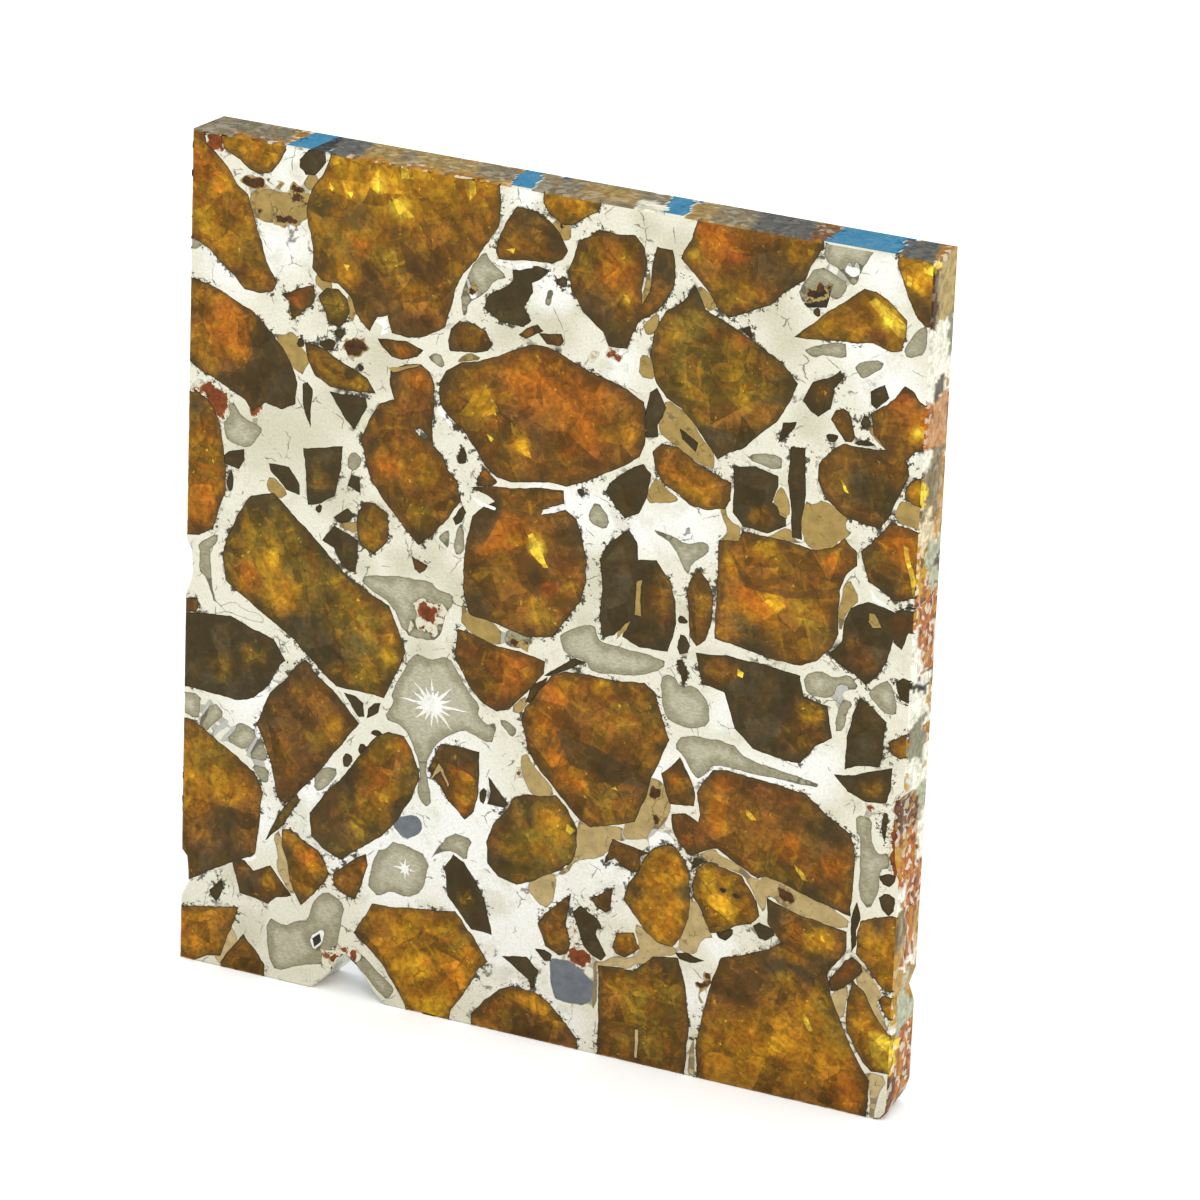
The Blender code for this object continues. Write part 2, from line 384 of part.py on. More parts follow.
def make_slab_guide():
    """The whole sawn slab, which trims the crystals at its edges."""
    return as_guide(loft("sawn_slab_guide", FRONT_OUTLINE, BACK_OUTLINE))


def make_metal(pockets):
    """The iron-nickel network: the sawn slab less a pocket for every crystal, all cut at once."""
    metal = loft("metal_network", FRONT_OUTLINE, BACK_OUTLINE)
    cutters = bpy.data.collections.new("pockets")
    bpy.context.scene.collection.children.link(cutters)
    for pocket in pockets:
        bpy.context.scene.collection.objects.unlink(pocket)
        cutters.objects.link(pocket)
    modifier = metal.modifiers.new("pockets", "BOOLEAN")
    modifier.solver = "EXACT"
    modifier.operation = "DIFFERENCE"
    modifier.operand_type = "COLLECTION"
    modifier.collection = cutters
    metal.data.materials.append(make_material("metal_network", METAL))
    return metal


def build():
    """Model the slice."""
    clear_scene()
    slab = make_slab_guide()
    pockets = []
    index = 0
    for colour, outlines, finish in CRYSTAL_KINDS:
        for label, outline in outlines.items():
            make_crystal(f"{colour}_crystal_{label}", outline, index, finish, slab)
            pockets.append(make_pocket(f"pocket_{label}", outline, index))
            index += 1
    make_metal(pockets)


build()
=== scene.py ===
"""Looks of a pallasite meteorite slice: one metal network, its olivine crystals and a pale studio.

Places on the slice are written in millimetres on its front face, as (u, v): u runs from the left edge to the
right, v runs from the edge that it stands on to the top. Depth runs from the front face to the back face.
"""

from __future__ import annotations

import logging
import math
import random
from collections.abc import Callable, Iterable, Sequence
from dataclasses import dataclass, field
from enum import Enum

import bmesh
import bpy
from mathutils import Matrix, Vector, noise
from mathutils.geometry import delaunay_2d_cdt
from mathutils.kdtree import KDTree

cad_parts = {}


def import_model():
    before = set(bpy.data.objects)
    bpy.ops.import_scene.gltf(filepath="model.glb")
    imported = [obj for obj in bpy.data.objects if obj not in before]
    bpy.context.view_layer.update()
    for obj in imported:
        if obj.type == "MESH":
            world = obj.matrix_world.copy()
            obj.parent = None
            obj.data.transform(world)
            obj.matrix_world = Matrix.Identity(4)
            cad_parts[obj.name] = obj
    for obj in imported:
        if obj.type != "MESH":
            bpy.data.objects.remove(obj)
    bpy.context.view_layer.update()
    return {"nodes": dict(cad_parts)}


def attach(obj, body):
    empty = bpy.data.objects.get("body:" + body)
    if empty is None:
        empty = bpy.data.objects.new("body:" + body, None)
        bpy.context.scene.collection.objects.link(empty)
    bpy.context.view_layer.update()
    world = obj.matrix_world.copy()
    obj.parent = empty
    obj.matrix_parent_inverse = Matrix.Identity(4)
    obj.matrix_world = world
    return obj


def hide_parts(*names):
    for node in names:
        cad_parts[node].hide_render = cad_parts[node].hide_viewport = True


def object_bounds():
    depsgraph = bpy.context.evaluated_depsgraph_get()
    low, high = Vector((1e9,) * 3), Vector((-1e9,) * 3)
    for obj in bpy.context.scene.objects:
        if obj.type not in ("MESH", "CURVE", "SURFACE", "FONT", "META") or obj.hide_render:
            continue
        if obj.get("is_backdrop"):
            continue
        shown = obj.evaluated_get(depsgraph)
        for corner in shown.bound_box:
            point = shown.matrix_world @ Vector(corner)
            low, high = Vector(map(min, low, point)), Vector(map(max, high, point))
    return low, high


LOG = logging.getLogger("pallasite_slice")
MM = 0.001
BODY = "root"
METAL_NODE = "metal_network"

# The studio's light is stronger than daylight by this factor, so that the floor comes out white, and every
# pigment is darker by the same factor, so that the slice keeps its colours.
LIGHT_LEVEL = 1.35

# Seeds of the waves in the outlines and of the points scattered over the face.
NOISE_SEED = 41
SCATTER_SEED = 41

# How the waves of a grown edge lie in the noise: their fineness, to the millimetre, and their layer.
SLOW_WAVES = (0.9, 3.1)
FINE_WAVES = (3.1, 8.7)
TORN_WAVES = (2.2, 1.3)

# How a soft patch of colour spreads and fades, and how fine and how deep, in millimetres, its border wanders.
PATCH_SPREAD = 1.25
PATCH_FADE = 0.6
PATCH_FINENESS = 0.8
PATCH_WANDER = 0.55
PATCH_LAYER = 2.3

# How far along each side of an outline a rounded corner starts, and how close two points may come, in steps.
CORNER_SHARE = 0.22
CLOSEST = 0.45

# The height of a triangle with sides of one step, for rows of scattered points.
ROW_HEIGHT = 0.866

# When two corners of a solid are one, in metres, and two points of the face, in millimetres, and when two
# sides are in line.
SAME_CORNER = 1e-6
SAME_POINT = 1e-5
IN_LINE = 0.99999

# How near the sawn edge a corner of a solid's outline counts as sawn, and a point of the face, in mm.
ON_EDGE = 0.05
SAWN_GAP = 0.004
# How far outside a solid's outline the crystal's grown edge lies, in millimetres.
POCKET = 0.27
# How far from the sawn edge the inside still follows it to the back, and how far inside the chamfer it stays.
EDGE_REACH = 2.0
EDGE_MARGIN = 0.02
# How far inside the slab's box the uneven right side lies at most, and the flat upper side, in millimetres.
SIDE_REACH = 1.0
TOP_GAP = 0.05

Point = tuple[float, float]
Outline = Sequence[Point]
Colour = tuple[float, ...]
Numbers = tuple[float, ...]


class Pigment(Enum):
    """Colours as the eye reads them in soft daylight: sRGB from 0 to 1, then how much painted glint there is,
    a golden painted highlight of the fractures in a crystal; on a sawn side it sets how many crumbs show.
    """

    YELLOW = (0.95, 0.82, 0.24, 1.0)
    GOLD = (0.76, 0.57, 0.10, 1.0)
    AMBER = (0.65, 0.45, 0.08, 0.9)
    ORANGE = (0.66, 0.37, 0.07, 0.7)
    RED_ORANGE = (0.60, 0.28, 0.07, 0.5)
    RED_BROWN = (0.38, 0.21, 0.10, 0.2)
    BROWN = (0.46, 0.30, 0.10, 0.5)
    DARK_BROWN = (0.30, 0.20, 0.11, 0.2)
    OLIVE_GOLD = (0.53, 0.42, 0.11, 0.9)
    OLIVE = (0.40, 0.32, 0.11, 0.6)
    DARK_OLIVE = (0.28, 0.25, 0.14, 0.3)
    SHADE = (0.20, 0.185, 0.14, 0.1)
    NEAR_BLACK = (0.13, 0.12, 0.09, 0.0)
    PALE_TAN = (0.86, 0.79, 0.63, 0.0)
    TAN = (0.66, 0.56, 0.33, 0.0)
    OCHRE = (0.72, 0.56, 0.28, 0.4)
    DRAB = (0.50, 0.44, 0.31, 0.25)
    MUSTARD = (0.61, 0.50, 0.25, 0.3)
    SLATE_BROWN = (0.36, 0.34, 0.29, 0.1)
    WEATHERED = (0.42, 0.28, 0.20, 0.8)
    BRIGHT_RUST = (0.68, 0.39, 0.17, 1.0)
    SAGE = (0.68, 0.69, 0.58, 0.0)
    MOSS = (0.54, 0.53, 0.42, 0.0)
    KHAKI = (0.68, 0.59, 0.36, 0.1)
    SANDY = (0.76, 0.55, 0.35, 0.15)
    RUST = (0.48, 0.25, 0.12, 0.0)
    DARK_RUST = (0.26, 0.14, 0.09, 0.0)
    CREAM = (0.925, 0.91, 0.83, 0.0)
    BRIGHT = (0.99, 0.99, 0.96, 0.0)
    HAZE = (0.84, 0.82, 0.72, 0.0)
    GREY = (0.62, 0.60, 0.49, 0.0)
    PALE_GREY = (0.75, 0.73, 0.63, 0.0)
    DARK_GREY = (0.33, 0.31, 0.26, 0.0)
    BLUE_GREY = (0.44, 0.46, 0.48, 0.0)

    @property
    def linear(self) -> Colour:
        """The colour in linear light, as dark as the studio's level asks, with the painted glint as a fourth
        value.
        """
        red, green, blue, painted_glint = self.value
        return (*(to_linear(channel) / LIGHT_LEVEL for channel in (red, green, blue)), painted_glint)


class Finish(Enum):
    """What the metal network is made of at a place, in the order of its material slots."""

    KAMACITE = 0
    PLESSITE = 1
    TROILITE = 2
    RUST = 3
    INCLUSION = 4
    CRUST = 5
    SAWN = 6


class Family(Enum):
    """The colour families of the crystals: node prefix, material slot and colour of the stone with depth."""

    AMBER = ("amber", "amber_olivine", (0.80, 0.50, 0.12))
    ORANGE = ("orange", "orange_olivine", (0.78, 0.40, 0.10))
    BROWN = ("brown", "brown_olivine", (0.62, 0.40, 0.16))
    OLIVE = ("olive", "olive_olivine", (0.56, 0.50, 0.20))
    DARK = ("dark", "dark_olivine", (0.40, 0.28, 0.14))

    @property
    def prefix(self) -> str:
        """The first word of the node names in this family."""
        return self.value[0]

    @property
    def slot(self) -> str:
        """The record's material slot of this family."""
        return self.value[1]

    @property
    def depth_colour(self) -> Colour:
        """The colour that the clear stone takes with depth."""
        return self.value[2]


def to_linear(value: float) -> float:
    """One sRGB channel in linear light.

    Args:
        value: The channel as the eye reads it, 0 to 1.

    Returns:
        The same channel in linear light.
    """
    if value <= 0.04045:
        return value / 12.92
    return ((value + 0.055) / 1.055) ** 2.4


# The sawn slab's own edge, front and back. The bite in the bottom edge, the rounded corner and the chips on
# both sides are the damage that the slice shows.
FRONT_EDGE: Outline = (
    (0.0, 0.0), (10.9, 0.0), (11.7, 0.7), (12.6, 1.7), (13.1, 2.8), (13.8, 3.2), (14.5, 2.8), (15.2, 1.9),
    (16.0, 0.9), (16.9, 0.0), (55.9, 0.0), (56.5, 0.15), (56.9, 0.6), (57.0, 1.3), (57.0, 8.0), (57.0, 9.2),
    (57.0, 10.6), (57.0, 18.6), (56.65, 20.0), (56.5, 22.2), (56.5, 24.4), (57.0, 25.4), (57.0, 64.0),
    (0.0, 64.0), (0.0, 33.0), (0.4, 32.3), (0.5, 30.6), (0.35, 29.8), (0.0, 28.8), (0.0, 8.7), (0.45, 8.2),
    (0.55, 7.2), (0.6, 6.2), (0.25, 5.5), (0.0, 5.0),
)
BACK_EDGE: Outline = (
    (0.0, 0.0), (11.3, 0.0), (12.0, 0.7), (12.7, 1.5), (13.2, 2.4), (13.8, 2.8), (14.5, 2.5), (15.1, 1.7),
    (15.8, 0.8), (16.6, 0.0), (55.1, 0.0), (56.0, 0.3), (56.7, 1.0), (57.0, 2.0), (57.0, 8.0), (56.55, 9.2),
    (57.0, 10.6), (57.0, 18.6), (57.0, 20.0), (57.0, 22.2), (57.0, 24.4), (57.0, 25.4), (57.0, 64.0),
    (0.45, 64.0), (0.1, 33.0), (0.3, 32.3), (0.4, 30.6), (0.3, 29.8), (0.0, 28.8), (0.0, 8.7), (0.3, 8.2),
    (0.4, 7.2), (0.4, 6.2), (0.2, 5.5), (0.0, 5.0),
)

# In the tables below each outline is a run of numbers, u and v in turn. Where there are only two points, they
# are the corners of a rounded grain.

# Small crystals between the large ones, by colour family.
SMALL_CRYSTALS: dict[Family, tuple[Numbers, ...]] = {
    Family.AMBER: (
        (55.5, 28.7, 56.8, 29.6, 57.6, 29.0, 57.6, 28.0, 56.4, 27.7, 55.8, 27.9),
        (35.5, 9.8, 36.8, 10.2, 37.3, 9.0, 36.2, 8.15, 35.5, 8.2, 35.15, 8.7), (56.0, 8.0, 57.5, 9.8),
    ),
    Family.ORANGE: (
        (56.0, 47.9, 56.4, 48.3, 57.6, 48.6, 57.6, 46.3, 56.4, 46.4, 55.8, 46.8, 55.7, 47.2),
        (-0.6, 28.5, 1.0, 28.6, 1.1, 28.2, 0.9, 27.6, -0.6, 27.35),
        (34.8, 17.0, 37.7, 16.5, 37.1, 16.1, 37.1, 15.0, 36.5, 14.8, 35.7, 15.0, 35.1, 15.6, 34.2, 15.0),
        (53.2, 11.7, 53.8, 12.0, 54.4, 11.6, 54.5, 11.1, 53.2, 9.6, 52.2, 9.1, 52.0, 9.8),
        (23.7, 43.0, 24.8, 42.1, 24.4, 41.7, 23.3, 41.5, 23.2, 42.0),
    ),
    Family.OLIVE: (
        (10.3, 53.4, 10.9, 54.1, 11.9, 54.1, 12.6, 53.5, 12.8, 52.6, 12.5, 51.8, 12.0, 51.3, 11.2, 51.6),
        (28.0, 27.4, 29.3, 28.2, 29.0, 27.4, 28.0, 26.0, 27.6, 26.0),
        (9.7, 14.6, 9.4, 15.1, 8.4, 13.8, 6.9, 10.9, 8.1, 12.0), (21.2, 45.4, 21.8, 45.8),
    ),
    Family.BROWN: (
        (7.4, 53.0, 9.9, 54.1, 10.1, 53.3, 9.8, 52.7, 8.3, 51.2, 8.0, 52.6),
        (18.3, 35.3, 19.5, 34.8, 19.3, 34.4, 18.9, 34.1, 18.5, 34.4),
        (26.1, 53.3, 26.7, 53.9, 27.5, 54.3, 28.0, 53.9, 26.6, 53.1),
        (27.6, 53.7, 29.4, 53.9, 29.6, 53.4, 29.3, 53.0, 28.3, 53.0),
        (34.9, 13.3, 34.9, 11.5, 34.5, 11.2, 33.8, 11.5, 33.3, 12.1, 34.1, 12.5),
        (50.0, 51.4, 50.3, 52.2, 50.9, 52.4, 51.3, 52.2, 51.8, 50.6, 51.6, 50.1, 51.1, 50.0),
        (31.7, 12.0, 31.4, 9.6, 31.8, 8.1, 31.6, 7.4, 31.0, 7.1, 29.8, 7.6, 29.2, 9.3, 29.7, 10.1),
    ),
    Family.DARK: (
        (8.6, 63.1, 9.9, 64.6, 10.5, 64.4, 10.7, 63.3, 9.8, 62.2, 9.1, 62.1, 8.6, 62.5),
        (50.5, 55.0, 50.8, 54.6, 50.1, 53.7, 49.9, 52.2, 49.0, 51.5, 48.4, 51.8, 47.8, 52.4, 48.5, 53.9,
         50.0, 54.5), (11.1, 35.1, 12.0, 36.4, 14.0, 35.6, 13.8, 33.2, 13.4, 33.1, 12.7, 33.5, 12.0, 34.7),
        (31.9, 10.7, 32.5, 11.3, 33.9, 10.6, 34.3, 9.9, 33.9, 9.9, 33.8, 9.4, 34.7, 7.9, 34.3, 7.4,
         33.6, 7.6, 32.9, 8.3), (9.2, 46.6, 9.6, 46.8, 10.0, 46.4, 9.9, 43.4, 9.3, 45.0),
        (10.5, 49.5, 11.8, 50.3), (11.7, 50.5, 12.5, 51.3), (13.55, 48.35, 14.05, 48.85),
        (8.7, 49.3, 9.3, 50.0), (13.0, 39.6, 13.3, 40.5, 13.9, 40.4, 14.0, 39.2),
        (2.95, 40.0, 3.4, 40.4, 4.6, 40.8, 4.6, 39.9, 4.2, 39.2, 3.1, 39.4),
        (6.6, 40.1, 8.3, 40.1, 9.1, 38.9, 9.2, 38.2, 8.1, 38.4, 6.8, 39.6), (3.3, 37.3, 3.8, 38.9),
        (10.5, 37.1, 11.0, 37.8), (11.9, 37.0, 13.0, 37.9, 13.6, 37.4, 13.1, 36.8, 12.4, 36.7),
        (46.1, 49.0, 46.4, 50.5, 47.4, 50.8, 47.3, 50.3, 46.8, 49.6), (49.7, 49.8, 50.6, 50.4),
        (52.9, 53.1, 52.8, 54.0, 53.8, 54.6, 54.2, 53.7, 53.3, 52.8), (52.2, 51.2, 52.9, 52.2),
        (51.8, 50.0, 53.3, 50.4),
        (36.3, 50.9, 36.9, 51.3, 37.6, 50.0, 37.0, 48.6, 37.1, 47.8, 36.1, 47.6, 36.0, 49.4),
        (31.0, 42.3, 31.6, 42.8), (21.4, 38.7, 22.1, 39.9, 22.4, 39.4, 22.1, 38.6, 21.6, 38.3),
        (21.7, 42.9, 22.4, 44.1), (29.0, 28.3, 31.2, 30.1, 32.2, 30.0, 29.4, 28.3),
        (39.2, 32.0, 40.1, 33.6), (39.2, 31.5, 39.6, 31.7, 40.0, 31.2, 40.1, 30.4, 39.8, 29.8),
        (39.2, 34.3, 39.9, 34.9), (13.1, 23.8, 14.0, 23.7, 14.7, 23.3, 14.8, 22.2, 14.4, 22.1),
        (14.95, 22.1, 15.1, 22.9, 15.6, 23.4, 16.1, 23.6, 15.9, 22.8), (14.4, 19.3, 15.1, 20.1),
        (15.4, 20.9, 16.3, 21.4), (13.1, 18.1, 13.9, 19.1),
        (24.9, 19.7, 26.5, 17.9, 26.2, 17.6, 24.9, 17.6, 25.1, 18.5), (24.2, 17.6, 24.8, 18.7),
        (41.2, 16.9, 41.8, 17.0, 42.0, 16.8, 41.4, 16.2, 41.1, 16.0), (43.1, 11.2, 44.5, 12.2),
        (46.0, 12.7, 46.5, 13.1, 47.6, 12.8, 47.7, 12.4, 47.0, 11.8, 46.5, 11.9),
        (2.4, 6.0, 3.4, 7.0, 3.5, 6.3, 3.0, 5.2, 2.6, 5.5),
        (26.4, 6.0, 28.4, 6.4, 29.4, 5.5, 29.1, 4.8, 29.2, 4.1, 28.8, 4.0, 28.7, 4.6),
        (29.1, 7.2, 29.8, 7.3, 30.4, 7.0, 30.3, 6.5, 29.8, 6.4),
        (40.1, 9.3, 41.0, 9.5, 42.4, 9.2, 41.2, 8.8, 40.5, 8.9),
        (53.4, 14.9, 53.8, 16.3, 54.2, 15.2, 53.9, 14.2, 53.9, 13.0, 53.6, 12.4), (55.4, 21.5, 55.8, 23.5),
        (55.5, 15.9, 56.8, 17.4), (55.4, 18.0, 56.7, 19.0), (48.3, 58.6, 48.8, 59.2),
        (28.9, 57.3, 29.7, 58.1), (43.0, 56.7, 43.6, 57.1, 43.9, 56.1),
        (38.7, 48.7, 40.1, 47.9, 40.0, 47.2, 38.9, 47.9), (55.9, 31.9, 57.6, 33.8),
    ),
}

# Fields in the metal, by what they are made of, each with its colour. Later ones lie over earlier ones.
GREY_FIELDS: tuple[Numbers, ...] = (
    (22.2, 57.2, 22.4, 57.9, 23.4, 58.9, 23.6, 58.3, 25.1, 57.3, 24.1, 57.0, 23.4, 55.8, 22.1, 54.9,
     22.0, 54.0, 21.7, 54.0, 21.5, 55.5),
    (49.0, 64.5, 52.9, 64.5, 51.5, 62.3, 51.4, 61.5, 51.0, 61.2, 50.2, 62.2, 48.8, 62.7),
    (48.4, 62.3, 50.3, 61.6, 50.7, 61.0, 50.0, 60.0, 49.4, 60.2, 47.5, 59.2, 47.1, 60.3),
    (3.5, 44.4, 4.5, 43.1, 5.9, 42.8, 6.0, 42.3, 5.0, 40.9, 3.3, 41.2, 3.0, 41.8, 2.9, 42.5),
    (32.6, 42.2, 33.6, 41.0, 33.3, 40.2, 32.1, 40.5, 31.95, 41.1),
    (36.8, 40.8, 38.0, 40.8, 39.6, 40.3, 40.7, 40.7, 41.3, 40.6, 41.3, 40.0, 40.0, 39.0, 39.8, 37.9,
     38.6, 40.1),
    (0.9, 32.9, 2.65, 34.0, 2.6, 33.3, 1.9, 32.5, 2.3, 29.0, 2.8, 28.4, 3.9, 29.0, 5.0, 28.5, 6.0, 28.5,
     6.5, 28.1, 6.3, 27.7, 2.5, 28.3, 1.7, 30.5, 1.1, 30.8, 1.2, 32.2),
    (14.3, 32.4, 14.6, 33.1, 17.6, 33.6, 19.8, 33.6, 20.3, 33.1, 21.6, 33.0, 21.6, 32.2, 21.1, 31.5,
     20.8, 30.0, 20.4, 29.3, 19.4, 29.1, 17.8, 29.3, 16.9, 31.3),
    (18.6, 28.0, 20.0, 27.6, 21.1, 28.2, 21.7, 27.9, 22.8, 26.2, 24.1, 25.0, 23.8, 24.4, 24.2, 23.9,
     24.7, 23.6, 25.2, 24.0, 25.3, 23.4, 25.0, 22.1, 23.1, 22.9, 22.3, 22.7, 20.5, 21.3, 19.8, 19.6,
     20.4, 16.8, 20.0, 16.3, 19.5, 16.6, 19.2, 17.4, 19.5, 19.0, 18.9, 20.7, 18.0, 22.1, 16.4, 22.5,
     17.2, 23.9, 16.9, 24.5),
    (30.1, 31.5, 30.5, 32.0, 32.3, 32.9, 32.8, 32.7, 33.0, 31.9, 33.6, 31.7, 38.3, 31.4, 38.2, 30.7,
     36.4, 29.8, 33.6, 29.4, 32.5, 29.5, 32.3, 30.1, 30.5, 30.2),
    (38.0, 30.0, 38.7, 30.4, 39.2, 30.2, 39.6, 29.6, 40.7, 29.9, 41.8, 28.8, 41.9, 27.2, 40.4, 26.6,
     38.8, 26.9, 38.4, 27.4),
    (48.9, 32.3, 50.1, 33.0, 51.3, 32.6, 52.3, 33.2, 53.2, 32.2, 51.7, 31.9, 50.9, 31.1, 49.3, 31.0),
    (54.0, 32.4, 55.1, 33.3, 55.6, 32.9, 56.1, 31.0, 55.5, 30.8, 54.9, 31.0, 53.9, 31.9),
    (51.8, 31.1, 52.5, 31.2, 52.7, 30.9, 52.3, 30.4, 52.1, 28.9, 51.4, 28.8),
    (55.1, 57.4, 56.0, 59.0, 56.7, 59.4, 56.7, 57.3, 55.4, 56.8),
    (47.6, 56.2, 50.7, 57.2, 50.9, 56.5, 50.9, 56.0, 49.2, 56.0, 48.5, 55.6),
    (51.4, 55.6, 53.0, 56.3, 53.8, 56.1, 52.3, 54.7, 51.9, 54.9),
    (-0.6, 21.1, 1.4, 21.2, 1.4, 20.0, 1.1, 19.2, -0.6, 19.8),
    (1.1, 19.0, 2.5, 20.9, 3.4, 20.1, 2.3, 19.0, 2.0, 18.4),
    (4.4, 19.6, 5.0, 19.7, 6.2, 19.3, 5.2, 17.5, 3.5, 18.1), (6.3, 19.1, 7.0, 17.6, 6.8, 17.1, 5.4, 17.1),
    (5.6, 16.7, 7.2, 16.6, 7.1, 15.6, 6.8, 15.4, 6.4, 15.5),
    (10.9, 17.0, 11.7, 17.7, 12.9, 17.7, 11.8, 15.9, 10.9, 15.6),
    (39.3, 25.0, 40.0, 26.1, 43.6, 26.3, 44.8, 25.2, 50.4, 24.6, 50.3, 24.2, 42.9, 24.35, 42.3, 24.2,
     41.3, 23.0, 40.9, 23.2, 40.1, 24.5),
    (53.4, 22.9, 54.7, 22.8, 54.6, 21.4, 54.9, 20.6, 55.3, 20.2, 56.0, 20.5, 56.2, 19.4, 55.4, 19.2,
     55.4, 17.4, 54.8, 15.8, 53.9, 16.8, 53.9, 21.0, 53.5, 21.7),
    (7.2, 4.8, 8.8, 4.5, 9.9, 5.2, 10.6, 5.3, 11.0, 6.9, 12.0, 8.0, 13.3, 7.4, 13.6, 6.7, 12.7, 2.4,
     9.8, 1.6, 8.1, 0.7, 7.4, 1.9),
    (16.1, 12.1, 17.0, 12.4, 17.5, 13.2, 20.5, 12.4, 19.8, 9.6, 18.6, 8.9, 17.3, 9.2, 16.4, 8.5, 15.7, 8.9,
     15.4, 9.3), (20.5, 12.4, 22.0, 14.8, 23.8, 14.5, 23.4, 13.7, 23.4, 12.8, 22.3, 13.4, 21.0, 12.9),
    (14.2, 3.8, 14.8, 3.8, 17.5, 1.8, 17.8, 1.3, 17.4, 0.6, 17.0, 0.5, 15.0, 2.5, 13.9, 3.2),
    (43.8, 47.4, 44.4, 47.9, 46.4, 48.2, 46.5, 47.0), (28.0, 56.0, 28.2, 57.0, 28.7, 57.0, 28.4, 55.8),
    (25.5, 24.2, 26.2, 24.3, 26.9, 23.9, 26.9, 23.4, 26.6, 23.1),
    (20.3, 37.1, 20.8, 37.6, 21.15, 37.8, 21.15, 36.4, 20.6, 36.8), (21.6, 36.0, 22.4, 38.3),
    (19.0, 50.3, 19.6, 50.8, 20.1, 50.7, 20.4, 50.1, 20.1, 49.8), (25.6, 30.0, 28.0, 31.3),
    (-0.4, 55.2, 1.0, 55.9), (12.9, 41.0, 13.0, 41.8, 13.5, 42.3, 14.0, 41.9, 14.0, 41.4, 13.4, 40.8),
)
